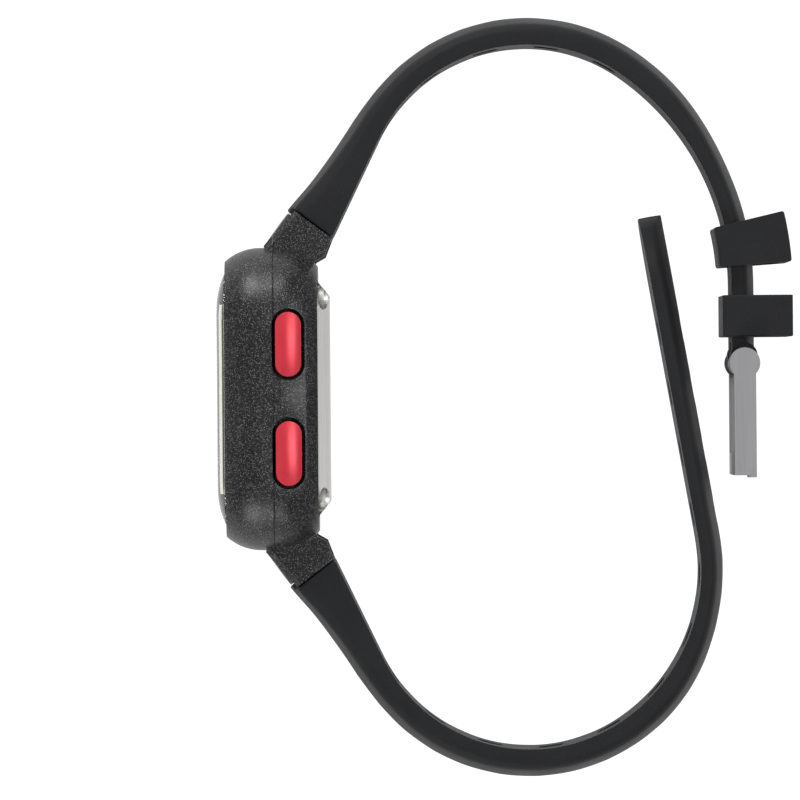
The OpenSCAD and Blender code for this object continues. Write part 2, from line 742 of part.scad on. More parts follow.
module button(side, half) color([0.82, 0.16, 0.2]) at_button(side, half) {
    intersection() {
        translate([0, 0, cap_floor]) linear_extrude(cap_t) pill(button_len, button_wid);
        translate([-button_x, 0, half_w - case_corner_r]) rotate([-90, -90, 0])
            linear_extrude(button_len + over, center = true) union() {
                square([case_corner_r - cap_below, case_t - rear_edge_t]);
                translate([case_corner_r - rear_edge_r, case_t - rear_edge_t])
                    circle(rear_edge_r - cap_below, $fn = 96);
            }
    }
    post(clip_top, cap_floor + stem_root, stem_r);
    post(clip_top - clip_t, clip_top, clip_groove_r);
    post(stem_end, clip_top - clip_t, stem_r);
}

module button_clip(side, half) color([0.7, 0.7, 0.7]) at_button(side, half) difference() {
    post(clip_top - clip_t + coil_gap, clip_top - coil_gap, clip_r);
    post(clip_top - over, clip_top + over, clip_groove_r + coil_gap);
    translate([-clip_slit / 2, 0, clip_top - over]) cube([clip_slit, 2 * clip_r, 2 * over]);
}

module button_seal(side, half) color([0.12, 0.12, 0.12]) at_button(side, half)
    translate([0, 0, pocket_floor - gland_t / 2])
        rotate_extrude() translate([(stem_r + gland_r) / 2, 0]) circle((gland_r - stem_r) / 2 - run_gap);

module button_spring(side, half) color([0.8, 0.8, 0.8]) at_button(side, half)
    coil(pocket_floor + coil_gap, cap_floor - coil_gap, gland_r + fixed_gap + button_wire / 2,
        button_wire, button_turns);

module bar_tube(half) color([0.75, 0.75, 0.75]) on_half(half) translate(bar_at) difference() {
    post(-tube_half, tube_half, bar_r);
    post(-tube_half - over, tube_half + over, bar_bore_r);
}

module bar_tip(half, side) color([0.8, 0.8, 0.8]) on_half(half) on_side(side) translate(bar_at)
    post(tip_end - tip_len, tip_end, tip_r);

module bar_spring(half, side) color([0.8, 0.8, 0.8]) on_half(half) on_side(side) translate(bar_at)
    coil(bar_wire / 2, tip_end - tip_len - coil_gap, bar_bore_r - fixed_gap - coil_gap - bar_wire / 2,
        bar_wire, 7);

module slots(count, r, turn) for (k = [0:count - 1]) {
    p = path(slot_first + k * slot_pitch, r, turn);
    translate(p[0]) rotate([0, 0, p[1]]) translate([0, -over, 0]) rotate([-90, 0, 0])
        linear_extrude(strap_lug_t + 2 * over) pill(slot_wid, slot_len);
}

module strap_tab() translate([bar_at[0], bar_at[1], -tab_half]) rotate([0, 0, lug_angle])
    linear_extrude(2 * tab_half) {
        circle(tab_r);
        translate([0, -tab_r]) square([bar_depth + shoulder_gap + tab_root, 2 * tab_r]);
    }

module strap_upper() color([0.13, 0.13, 0.14]) difference() {
    union() {
        strap_body(upper_len, 0, upper_r, upper_turn);
        strap_tongue(upper_r, upper_turn);
        strap_tab();
        translate(buckle_at) post(-strap_end_w / 2, strap_end_w / 2, buckle_eye_r);
    }
    translate(bar_at) post(-lug_w, lug_w, bar_r + run_gap);
    slots(upper_slots, upper_r, upper_turn);
    translate(buckle_at) post(-lug_w, lug_w, pin_bore_r);
    translate([buckle_at[0] - strap_t, buckle_at[1] - strap_t, -prong_notch])
        cube([2 * strap_t, strap_t + notch_depth, 2 * prong_notch]);
}

module strap_lower() color([0.13, 0.13, 0.14]) on_half("lower") difference() {
    union() {
        strap_body(lower_len, strap_end_w / 2, lower_r, lower_turn);
        strap_tongue(lower_r, lower_turn);
        strap_tab();
    }
    translate(bar_at) post(-lug_w, lug_w, bar_r + run_gap);
    slots(lower_slots, lower_r, lower_turn);
}

module keeper_section(r0, r1, gap) difference() {
    translate([r0 - gap - keeper_wall, -strap_end_w / 2 - gap - keeper_wall])
        square([r1 - r0 + 2 * (gap + keeper_wall) - gap, strap_end_w + 2 * (gap + keeper_wall)]);
    translate([r0 - gap, -strap_end_w / 2 - gap]) square([r1 - r0 + gap, strap_end_w + 2 * gap]);
}

module keeper_sliding() color([0.12, 0.12, 0.13]) translate(upper_centre)
    rotate([0, 0, 4]) rotate_extrude(angle = keeper_len / upper_r * 180 / PI)
        keeper_section(upper_r, upper_r + strap_end_t + keeper_room, keeper_play);

module keeper_fixed() color([0.12, 0.12, 0.13])
    translate([upper_centre[0] + upper_r, upper_centre[1] - keeper_drop, 0]) rotate([90, 0, 0])
        linear_extrude(keeper_len) keeper_section(0, strap_end_t + keeper_room, fixed_gap);

module buckle_pin() color([0.7, 0.7, 0.7]) translate(buckle_at)
    post(-frame_out_w + pin_inset, frame_out_w - pin_inset, buckle_pin_d / 2);

module buckle_frame() color([0.72, 0.72, 0.73]) translate(buckle_at) difference() {
    union() {
        for (side = SIDES) on_side(side) {
            post(frame_in_w, frame_out_w, boss_r);
            translate([-buckle_t / 2, -buckle_reach, frame_in_w]) cube([buckle_t, buckle_reach, buckle_bar]);
        }
        translate([-buckle_t / 2, -buckle_reach, -frame_out_w])
            cube([buckle_t / 2 + buckle_eye_r - prong_t - fixed_gap, buckle_bar, 2 * frame_out_w]);
    }
    post(-frame_out_w + pin_inset - pin_end_gap, frame_out_w - pin_inset + pin_end_gap, pin_bore_r);
}

module buckle_prong() color([0.75, 0.75, 0.76]) translate(buckle_at) difference() {
    union() {
        post(-prong_w / 2, prong_w / 2, buckle_eye_r);
        translate([buckle_eye_r - prong_t, -buckle_reach - prong_over, -prong_w / 2])
            cube([prong_t, buckle_reach + prong_over, prong_w]);
    }
    post(-prong_w, prong_w, pin_bore_r);
}

module in_frame() translate(-origin) children();

in_frame() case_shell();
in_frame() crystal();
in_frame() crystal_gasket();
in_frame() dial_mask();
in_frame() lug_plate("upper");  // lug_plate_upper
in_frame() lug_plate("lower");  // lug_plate_lower
in_frame() case_back();
in_frame() back_gasket();
in_frame() back_screws();
in_frame() lcd_panel();
in_frame() light_panel();
in_frame() connector_strips();
in_frame() module_frame();
in_frame() circuit_board();
in_frame() chip_cover();
in_frame() quartz_can();
in_frame() module_screws();
in_frame() cell_holder();
in_frame() coin_cell();
in_frame() cell_clip();
in_frame() cushion_pad();
in_frame() buzzer_disc();
in_frame() buzzer_spring();
in_frame() switch_leaves();
in_frame() button("right", "upper");  // button_right_upper
in_frame() button("right", "lower");  // button_right_lower
in_frame() button("left", "upper");  // button_left_upper
in_frame() button("left", "lower");  // button_left_lower
in_frame() button_clip("right", "upper");  // clip_right_upper
in_frame() button_clip("right", "lower");  // clip_right_lower
in_frame() button_clip("left", "upper");  // clip_left_upper
in_frame() button_clip("left", "lower");  // clip_left_lower
in_frame() button_seal("right", "upper");  // seal_right_upper
in_frame() button_seal("right", "lower");  // seal_right_lower
in_frame() button_seal("left", "upper");  // seal_left_upper
in_frame() button_seal("left", "lower");  // seal_left_lower
in_frame() button_spring("right", "upper");  // spring_right_upper
in_frame() button_spring("right", "lower");  // spring_right_lower
in_frame() button_spring("left", "upper");  // spring_left_upper
in_frame() button_spring("left", "lower");  // spring_left_lower
in_frame() bar_tube("upper");  // bar_tube_upper
in_frame() bar_tube("lower");  // bar_tube_lower
in_frame() bar_tip("upper", "right");  // bar_tip_upper_right
in_frame() bar_tip("upper", "left");  // bar_tip_upper_left
in_frame() bar_tip("lower", "right");  // bar_tip_lower_right
in_frame() bar_tip("lower", "left");  // bar_tip_lower_left
in_frame() bar_spring("upper", "right");  // bar_spring_upper_right
in_frame() bar_spring("upper", "left");  // bar_spring_upper_left
in_frame() bar_spring("lower", "right");  // bar_spring_lower_right
in_frame() bar_spring("lower", "left");  // bar_spring_lower_left
in_frame() strap_upper();
in_frame() strap_lower();
in_frame() keeper_fixed();
in_frame() keeper_sliding();
in_frame() buckle_pin();
in_frame() buckle_frame();
in_frame() buckle_prong();
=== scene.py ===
"""Looks of a digital sports watch with a slotted rubber strap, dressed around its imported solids.

Sizes are in millimetres in the watch's own frame: x runs from the case's front rim towards the
wrist, y towards 12 o'clock and z towards 3 o'clock. Layout turns them into the scene's metres.
"""

import logging
import math
from dataclasses import dataclass, field
from enum import Enum
from typing import Callable, Iterable

import bmesh
import bpy
from mathutils import Matrix, Vector


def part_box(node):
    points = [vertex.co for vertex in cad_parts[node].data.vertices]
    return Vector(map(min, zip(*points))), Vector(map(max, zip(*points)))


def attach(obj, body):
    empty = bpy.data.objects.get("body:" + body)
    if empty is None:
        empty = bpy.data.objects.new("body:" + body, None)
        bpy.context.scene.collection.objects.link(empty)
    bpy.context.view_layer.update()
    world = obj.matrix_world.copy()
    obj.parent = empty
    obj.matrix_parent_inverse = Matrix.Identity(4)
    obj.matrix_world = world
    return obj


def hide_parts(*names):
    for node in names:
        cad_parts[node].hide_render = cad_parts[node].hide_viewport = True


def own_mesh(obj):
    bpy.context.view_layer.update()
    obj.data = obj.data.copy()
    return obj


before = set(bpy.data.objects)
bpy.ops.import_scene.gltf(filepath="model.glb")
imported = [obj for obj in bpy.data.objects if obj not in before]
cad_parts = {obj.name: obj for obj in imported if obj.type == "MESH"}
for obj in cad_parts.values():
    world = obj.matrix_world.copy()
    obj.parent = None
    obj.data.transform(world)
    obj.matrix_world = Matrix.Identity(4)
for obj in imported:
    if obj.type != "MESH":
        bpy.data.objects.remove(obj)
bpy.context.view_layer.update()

MM = 0.001
PRINT_BLACK = (0.004, 0.004, 0.005)
log = logging.getLogger("watch")


class Half(Enum):
    """The two halves of the strap, with the sign of y on which each lies."""

    UPPER = 1
    LOWER = -1


@dataclass(frozen=True)
class Layout:
    """Where the watch's own frame lies in the scene, read from the solids."""

    rim_x: float
    middle_z: float

    @staticmethod
    def from_solids() -> "Layout":
        """Reads the front rim and the middle plane from the case.

        Returns:
            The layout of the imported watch.
        """
        low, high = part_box("case_shell")
        return Layout(rim_x=low.x, middle_z=(low.z + high.z) / 2)

    def point(self, x: float, y: float, z: float = 0.0) -> Vector:
        """Turns a point of the watch's frame into scene metres.

        Args:
            x: Depth behind the front rim.
            y: Distance towards 12 o'clock.
            z: Distance towards 3 o'clock.

        Returns:
            The point in the scene.
        """
        return Vector((self.rim_x + x * MM, y * MM, self.middle_z + z * MM))


class Nodes:
    """A node tree that is wired by short calls."""

    def __init__(self, tree: bpy.types.NodeTree) -> None:
        """Keeps the tree to wire."""
        self.tree = tree

    def add(self, kind: str, settings: dict[str, object] | None = None, **inputs: object) -> bpy.types.Node:
        """Adds one node and sets or links its inputs.

        Args:
            kind: The node's type, without the ShaderNode prefix.
            settings: Properties of the node itself.
            **inputs: Input names, with underscores for spaces, and values or sockets.

        Returns:
            The new node.
        """
        node = self.tree.nodes.new("ShaderNode" + kind)
        for name, value in (settings or {}).items():
            setattr(node, name, value)
        for name, value in inputs.items():
            self.feed(node, name.replace("_", " "), value)
        return node

    def feed(self, node: bpy.types.Node, name: str, value: object) -> None:
        """Sets or links one input.

        Args:
            node: The node that has the input.
            name: The input's name, or its number as text.
            value: A socket to link, or a plain value.
        """
        socket = node.inputs[int(name[1:])] if name[1:].isdigit() else node.inputs[name]
        if isinstance(value, bpy.types.NodeSocket):
            self.tree.links.new(value, socket)
        else:
            socket.default_value = value

    def math(self, operation: str, a: object, b: object = 0.0) -> bpy.types.NodeSocket:
        """Adds a Math node.

        Args:
            operation: The operation's name.
            a: First value or socket.
            b: Second value or socket.

        Returns:
            The result's socket.
        """
        return self.add("Math", {"operation": operation}, i0=a, i1=b).outputs[0]

    def spread(self, value: object, low: float, high: float,
               start: float = 0.0, end: float = 1.0) -> bpy.types.NodeSocket:
        """Maps a value from low..high to start..end, clamped.

        Args:
            value: The socket to map.
            low: Value that gives start.
            high: Value that gives end.
            start: Result at low.
            end: Result at high.

        Returns:
            The result's socket.
        """
        node = self.add("MapRange", {"clamp": True}, Value=value,
                        From_Min=low, From_Max=high, To_Min=start, To_Max=end)
        return node.outputs["Result"]

    def mix(self, factor: object, a: object, b: object) -> bpy.types.NodeSocket:
        """Blends two colours.

        Args:
            factor: Share of the second colour.
            a: First colour or socket.
            b: Second colour or socket.

        Returns:
            The blended colour's socket.
        """
        return self.add("Mix", {"data_type": "RGBA"}, i0=factor, i6=a, i7=b).outputs[2]

    def blend(self, factor: object, a: bpy.types.NodeSocket, b: bpy.types.NodeSocket) -> bpy.types.NodeSocket:
        """Blends two shaders.

        Args:
            factor: Share of the second shader.
            a: First shader's socket.
            b: Second shader's socket.

        Returns:
            The blended shader's socket.
        """
        return self.add("MixShader", i0=factor, i1=a, i2=b).outputs[0]


def rgba(colour: tuple[float, float, float], gain: float = 1.0) -> tuple[float, float, float, float]:
    """Gives a colour, brightened or darkened, with full opacity."""
    return tuple(min(1.0, c * gain) for c in colour) + (1.0,)


class Effects:
    """Shader node groups that several finishes share, each built once."""

    built: dict[str, bpy.types.NodeTree] = {}
    fine_noise: dict[str, float] = {"Detail": 3.0, "Roughness": 0.6}
    coarse_noise: dict[str, float] = {"Detail": 4.0, "Roughness": 0.55}
    line_noise: dict[str, float] = {"Detail": 4.0, "Roughness": 0.65}
    coarse_scale: float = 0.05
    tone_range: tuple[float, float] = (0.3, 0.7)
    fleck_core: float = 0.15
    fleck_rim: float = 0.45
    line_stretch: tuple[float, float, float] = (1.0, 0.02, 1.0)

    @classmethod
    def group(cls, name: str, sockets: dict[str, float], outputs: tuple[str, ...],
              wire: Callable[[Nodes, bpy.types.Node, bpy.types.Node], None]) -> bpy.types.NodeTree:
        """Builds a group the first time it is asked for.

        Args:
            name: The group's name.
            sockets: Its inputs with their usual values.
            outputs: Its outputs.
            wire: A function that fills the tree between its input and output nodes.

        Returns:
            The group's tree.
        """
        if name not in cls.built:
            tree = bpy.data.node_groups.new(name, "ShaderNodeTree")
            for key, value in sockets.items():
                socket = tree.interface.new_socket(key, in_out="INPUT", socket_type="NodeSocketFloat")
                socket.default_value = value
            for key in outputs:
                tree.interface.new_socket(key, in_out="OUTPUT", socket_type="NodeSocketFloat")
            wire(Nodes(tree), tree.nodes.new("NodeGroupInput"), tree.nodes.new("NodeGroupOutput"))
            cls.built[name] = tree
        return cls.built[name]

    @classmethod
    def grain(cls) -> bpy.types.NodeTree:
        """Gives the group of a fine two-scale grain, as a height and as a soft mottling."""
        return cls.group("fine grain", {"Scale": 3000.0}, ("Height", "Mottle"), cls.wire_grain)

    @classmethod
    def wire_grain(cls, nodes: Nodes, start: bpy.types.Node, end: bpy.types.Node) -> None:
        """Wires the grain.

        Args:
            nodes: The group's tree.
            start: Its input node.
            end: Its output node.
        """
        where = nodes.add("TexCoord").outputs["Object"]
        scale = start.outputs["Scale"]
        fine = nodes.add("TexNoise", Vector=where, Scale=scale, **cls.fine_noise)
        wide = nodes.math("MULTIPLY", scale, cls.coarse_scale)
        coarse = nodes.add("TexNoise", Vector=where, Scale=wide, **cls.coarse_noise)
        nodes.feed(end, "Height", fine.outputs["Fac"])
        nodes.feed(end, "Mottle", nodes.spread(coarse.outputs["Fac"], *cls.tone_range))

    @classmethod
    def flecks(cls) -> bpy.types.NodeTree:
        """Gives the group of scattered glass-fibre flecks, as a mask."""
        return cls.group("flecks", {"Scale": 5200.0, "Share": 0.2}, ("Mask",), cls.wire_flecks)

    @classmethod
    def wire_flecks(cls, nodes: Nodes, start: bpy.types.Node, end: bpy.types.Node) -> None:
        """Wires the flecks, as round spots in a chosen share of the cells.

        Args:
            nodes: The group's tree.
            start: Its input node.
            end: Its output node.
        """
        where = nodes.add("TexCoord").outputs["Object"]
        cells = nodes.add("TexVoronoi", Vector=where, Scale=start.outputs["Scale"])
        chance = nodes.add("SeparateColor", Color=cells.outputs["Color"]).outputs[0]
        chosen = nodes.math("GREATER_THAN", chance, nodes.math("SUBTRACT", 1.0, start.outputs["Share"]))
        near = nodes.spread(cells.outputs["Distance"], cls.fleck_core, cls.fleck_rim, 1.0, 0.0)
        nodes.feed(end, "Mask", nodes.math("MULTIPLY", chosen, near))

    @classmethod
    def brushing(cls) -> bpy.types.NodeTree:
        """Gives the group of fine brushing lines along y, as a height and a tone."""
        return cls.group("brushing", {"Scale": 6000.0}, ("Height", "Tone"), cls.wire_brushing)

    @classmethod
    def wire_brushing(cls, nodes: Nodes, start: bpy.types.Node, end: bpy.types.Node) -> None:
        """Wires the brushing lines.

        Args:
            nodes: The group's tree.
            start: Its input node.
            end: Its output node.
        """
        where = nodes.add("TexCoord").outputs["Object"]
        drawn = nodes.add("Mapping", Vector=where, Scale=cls.line_stretch).outputs[0]
        lines = nodes.add("TexNoise", Vector=drawn, Scale=start.outputs["Scale"], **cls.line_noise)
        nodes.feed(end, "Height", lines.outputs["Fac"])
        nodes.feed(end, "Tone", nodes.spread(lines.outputs["Fac"], *cls.tone_range))


@dataclass(frozen=True)
class Flecks:
    """How fine, how dense and how strong the flecks in a finish are."""

    scale: float
    share: float
    strength: float = 1.0


@dataclass(frozen=True)
class Finish:
    """A plain moulded finish, and the base of the others."""

    name: str
    colour: tuple[float, float, float]
    roughness: float = 0.5
    metallic: float = 0.0
    grain_scale: float = 3000.0
    grain_depth: float = 0.00001
    mottle: float = 0.08
    swing: float = 0.05

    def material(self) -> bpy.types.Material:
        """Gives the finish's material, built on first use.

        Returns:
            The material.
        """
        made = bpy.data.materials.get(self.name)
        if made is None:
            made = bpy.data.materials.new(self.name)
            made.use_nodes = True
            nodes = Nodes(made.node_tree)
            self.dress(nodes, made.node_tree.nodes["Principled BSDF"])
        return made

    def use(self, nodes: Nodes, group: bpy.types.NodeTree, **values: float) -> bpy.types.Node:
        """Places a shared group in this material.

        Args:
            nodes: The material's tree.
            group: The group to place.
            **values: Values for its inputs.

        Returns:
            The group's node.
        """
        node = nodes.tree.nodes.new("ShaderNodeGroup")
        node.node_tree = group
        for key, value in values.items():
            node.inputs[key].default_value = value
        return node

    def flecks(self, nodes: Nodes, kind: Flecks) -> bpy.types.NodeSocket:
        """Scatters one kind of flecks, as a mask that is as strong as they are."""
        mask = self.use(nodes, Effects.flecks(), Scale=kind.scale, Share=kind.share).outputs["Mask"]
        return nodes.math("MULTIPLY", mask, kind.strength)

    def pattern(self, nodes: Nodes) -> tuple[bpy.types.NodeSocket, bpy.types.NodeSocket]:
        """Gives the sockets of the grain's tone and height."""
        grain = self.use(nodes, Effects.grain(), Scale=self.grain_scale)
        return grain.outputs["Mottle"], grain.outputs["Height"]

    def toned(self, nodes: Nodes, tone: object, dark: float, light: float) -> bpy.types.NodeSocket:
        """Varies the finish's colour by a tone, from a dark gain of it to a light one."""
        return nodes.mix(tone, rgba(self.colour, dark), rgba(self.colour, light))

    def rough_and_bump(self, nodes: Nodes, shader: bpy.types.Node, tone: object, height: object) -> None:
        """Feeds the roughness and the normal from a pattern.

        Args:
            nodes: The material's tree.
            shader: The Principled BSDF.
            tone: Mask that varies the roughness.
            height: Height of the bump.
        """
        rough = nodes.spread(tone, 0.0, 1.0, self.roughness - self.swing, self.roughness + self.swing)
        nodes.feed(shader, "Roughness", rough)
        bump = nodes.add("Bump", Strength=1.0, Distance=self.grain_depth, Height=height)
        nodes.feed(shader, "Normal", bump.outputs[0])

    def dress(self, nodes: Nodes, shader: bpy.types.Node) -> None:
        """Wires the material.

        Args:
            nodes: The material's tree.
            shader: Its Principled BSDF.
        """
        tone, height = self.pattern(nodes)
        nodes.feed(shader, "Base Color", self.toned(nodes, tone, 1 - self.mottle, 1 + self.mottle))
        shader.inputs["Metallic"].default_value = self.metallic
        self.rough_and_bump(nodes, shader, tone, height)


@dataclass(frozen=True)
class SpeckledPlastic(Finish):
    """Black glass-filled plastic: light flecks, a fine spark texture and a mould line."""

    fleck_colour: tuple[float, float, float] = (0.36, 0.36, 0.35)
    small_flecks: Flecks = Flecks(11000.0, 0.6, 0.35)
    large_flecks: Flecks = Flecks(8600.0, 0.36)
    dark: float = 0.85
    light: float = 1.2
    line_x: float = 0.0
    line_width: float = 0.00009
    line_strength: float = 0.5
    line_tone: float = 0.3
    line_groove: float = 2.0

    def dress(self, nodes: Nodes, shader: bpy.types.Node) -> None:
        """Wires the flecks over the grain, and the mould line at its depth.

        Args:
            nodes: The material's tree.
            shader: Its Principled BSDF.
        """
        tone, height = self.pattern(nodes)
        small, large = self.flecks(nodes, self.small_flecks), self.flecks(nodes, self.large_flecks)
        mask = nodes.math("MAXIMUM", small, large)
        speckled = nodes.mix(mask, self.toned(nodes, tone, self.dark, self.light), rgba(self.fleck_colour))
        depth = nodes.add("SeparateXYZ", Vector=nodes.add("TexCoord").outputs["Object"]).outputs["X"]
        away = nodes.math("ABSOLUTE", nodes.math("SUBTRACT", depth, self.line_x))
        line = nodes.spread(away, 0.0, self.line_width, 1.0, 0.0)
        shade = nodes.math("MULTIPLY", line, self.line_strength)
        nodes.feed(shader, "Base Color", nodes.mix(shade, speckled, rgba(self.colour, self.line_tone)))
        groove = nodes.math("SUBTRACT", height, nodes.math("MULTIPLY", line, self.line_groove))
        self.rough_and_bump(nodes, shader, tone, groove)


@dataclass(frozen=True)
class SatinMetal(Finish):
    """Brushed or blasted metal with fine lines."""

    metallic: float = 1.0
    swing: float = 0.06
    line_scale: float = 6000.0

    def pattern(self, nodes: Nodes) -> tuple[bpy.types.NodeSocket, bpy.types.NodeSocket]:
        """Gives the sockets of the brushing's tone and height."""
        brushed = self.use(nodes, Effects.brushing(), Scale=self.line_scale)
        return brushed.outputs["Tone"], brushed.outputs["Height"]


@dataclass(frozen=True)
class MouldedRubber(Finish):
    """Matte black rubber with a soft sheen and a fine moulded grain."""

    sheen: float = 0.06
    sheen_roughness: float = 0.5
    shine: float = 0.16
    dark: float = 0.9
    light: float = 1.12
    dust: Flecks = Flecks(5200.0, 0.2, 0.05)
    dust_colour: tuple[float, float, float] = (0.2, 0.2, 0.2)

    def dress(self, nodes: Nodes, shader: bpy.types.Node) -> None:
        """Wires the grain, faint dust and the sheen.

        Args:
            nodes: The material's tree.
            shader: Its Principled BSDF.
        """
        tone, height = self.pattern(nodes)
        rubber = self.toned(nodes, tone, self.dark, self.light)
        dusty = nodes.mix(self.flecks(nodes, self.dust), rubber, rgba(self.dust_colour))
        nodes.feed(shader, "Base Color", dusty)
        shader.inputs["Specular IOR Level"].default_value = self.shine
        shader.inputs["Sheen Weight"].default_value = self.sheen
        shader.inputs["Sheen Roughness"].default_value = self.sheen_roughness
        self.rough_and_bump(nodes, shader, tone, height)


@dataclass(frozen=True)
class Clear(Finish):
    """Clear moulded crystal, printed black on its rear outside the window, with a painted highlight on each
    side of the window: a pale line that glows as painted light.
    """

    rear_x: float = 1.0
    window: tuple[float, float] = (0.009, 0.009)
    middle_z: float = 0.0
    # The pale line beside the window is a painted highlight with a painted glow, standing for light seen
    # through the crystal's edge; line_width is its width.
    line_width: float = 0.0010
    painted_highlight_colour: tuple[float, float, float] = (0.95, 0.91, 0.78)
    painted_highlight_glow: float = 0.45
    print_roughness: float = 0.8
    print_depth: float = 0.00002
    polish_tone: float = 0.98
    polish_least: float = 0.005
    refraction: float = 1.5
    shine: float = 0.5

    def outside(self, nodes: Nodes, grow: float) -> bpy.types.NodeSocket:
        """Finds the rear outside the window by position.

        Args:
            nodes: The material's tree.
            grow: How far beyond the window's sides the area starts, in metres.

        Returns:
            A mask that is 1 there.
        """
        place = nodes.add("SeparateXYZ", Vector=nodes.add("TexCoord").outputs["Object"])
        rear = nodes.math("GREATER_THAN", place.outputs["X"], self.rear_x - self.print_depth)
        tall = nodes.math("GREATER_THAN", nodes.math("ABSOLUTE", place.outputs["Y"]), self.window[0])
        from_middle = nodes.math("SUBTRACT", place.outputs["Z"], self.middle_z)
        wide = nodes.math("GREATER_THAN", nodes.math("ABSOLUTE", from_middle), self.window[1] + grow)
        return nodes.math("MULTIPLY", rear, nodes.math("MAXIMUM", tall, wide))

    def dress(self, nodes: Nodes, shader: bpy.types.Node) -> None:
        """Wires clear glass with a slightly uneven polish over the black print, and the painted highlight
        line that glows beside the window.

        Args:
            nodes: The material's tree.
            shader: Its Principled BSDF.
        """
        tone, _ = self.pattern(nodes)
        mask = self.outside(nodes, 0.0)
        black = self.outside(nodes, self.line_width)
        # Base colour: black print outside the window, and the painted highlight line just beside it.
        print_and_painted_highlight = nodes.mix(black, rgba(self.painted_highlight_colour), rgba(PRINT_BLACK))
        nodes.feed(shader, "Base Color", nodes.mix(mask, self.toned(nodes, tone, self.polish_tone, 1.0), print_and_painted_highlight))
        # Painted glow: the highlight line beside the window glows without being a lamp.
        line = nodes.math("SUBTRACT", mask, black)
        nodes.feed(shader, "Emission Color", nodes.mix(line, rgba((0.0, 0.0, 0.0)), rgba(self.painted_highlight_colour)))
        shader.inputs["Emission Strength"].default_value = self.painted_highlight_glow
        clear = nodes.math("SUBTRACT", 1.0, mask)
        nodes.feed(shader, "Transmission Weight", clear)
        shader.inputs["IOR"].default_value = self.refraction
        nodes.feed(shader, "Specular IOR Level", nodes.math("MULTIPLY", clear, self.shine))
        polish = nodes.spread(tone, 0.0, 1.0, self.polish_least, self.roughness)
        matte = nodes.math("MULTIPLY", mask, self.print_roughness)
        nodes.feed(shader, "Roughness", nodes.math("MAXIMUM", polish, matte))


class Finishes:
    """Every finish of the watch, with two places on it in millimetres."""

    mould_line_x: float = 5.36
    print_border: tuple[float, float] = (2.75, 3.55)

    def __init__(self, layout: Layout) -> None:
        """Sets the finishes up.

        Args:
            layout: Where the watch lies in the scene.
        """
        self.case = SpeckledPlastic("case plastic", (0.007, 0.007, 0.0075), 0.38, grain_scale=4200.0,
                                    grain_depth=0.00003, line_x=layout.point(self.mould_line_x, 0).x)
        low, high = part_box("dial_mask")
        tall, wide = self.print_border
        window = (high.y - tall * MM, (high.z - low.z) / 2 - wide * MM)
        self.crystal = Clear("clear crystal", (0.96, 0.97, 0.97), 0.015, rear_x=low.x, window=window,
                             middle_z=layout.middle_z)
        self.mask = Finish("mask print", PRINT_BLACK, 0.85)
        self.seal = Finish("seal rubber", (0.02, 0.02, 0.02), 0.6)
        self.plate = SatinMetal("satin plate", (0.42, 0.425, 0.435), 0.4, grain_depth=0.000004)
        self.back = SatinMetal("satin steel back", (0.93, 0.91, 0.85), 0.42, grain_depth=0.00001, mottle=0.2)
        self.screw = SatinMetal("bright steel", (0.72, 0.71, 0.68), 0.6, grain_depth=0.000003)
        self.red = Finish("satin red", (0.82, 0.05, 0.075), 0.3, metallic=0.25, grain_scale=5000.0,
                          grain_depth=0.000003, mottle=0.04)
        self.rubber = MouldedRubber("strap rubber", (0.0185, 0.019, 0.0205), 0.6, grain_scale=3800.0,
                                    grain_depth=0.00002)
        self.buckle = SatinMetal("buckle steel", (0.42, 0.42, 0.43), 0.5, grain_depth=0.000003, mottle=0.08)
        self.display = Finish("display glass", (0.80, 0.80, 0.69), 0.18, mottle=0.02, grain_depth=0.000001)
        self.digits = Finish("display digits", (0.012, 0.014, 0.012), 0.4)
        self.light = Finish("light sheet", (0.75, 0.75, 0.7), 0.35)
        self.silicone = Finish("striped silicone", (0.55, 0.25, 0.15), 0.5)
        self.white = Finish("white plastic", (0.72, 0.72, 0.69), 0.45)
        self.board = Finish("circuit board", (0.01, 0.09, 0.035), 0.35)
        self.resin = Finish("chip resin", (0.01, 0.01, 0.01), 0.2)
        self.grey = Finish("grey plastic", (0.08, 0.08, 0.09), 0.5)
        self.foam = Finish("foam pad", (0.03, 0.03, 0.033), 0.9, grain_scale=1800.0, grain_depth=0.0001)
        self.brass = SatinMetal("brass", (0.75, 0.5, 0.18), 0.3)


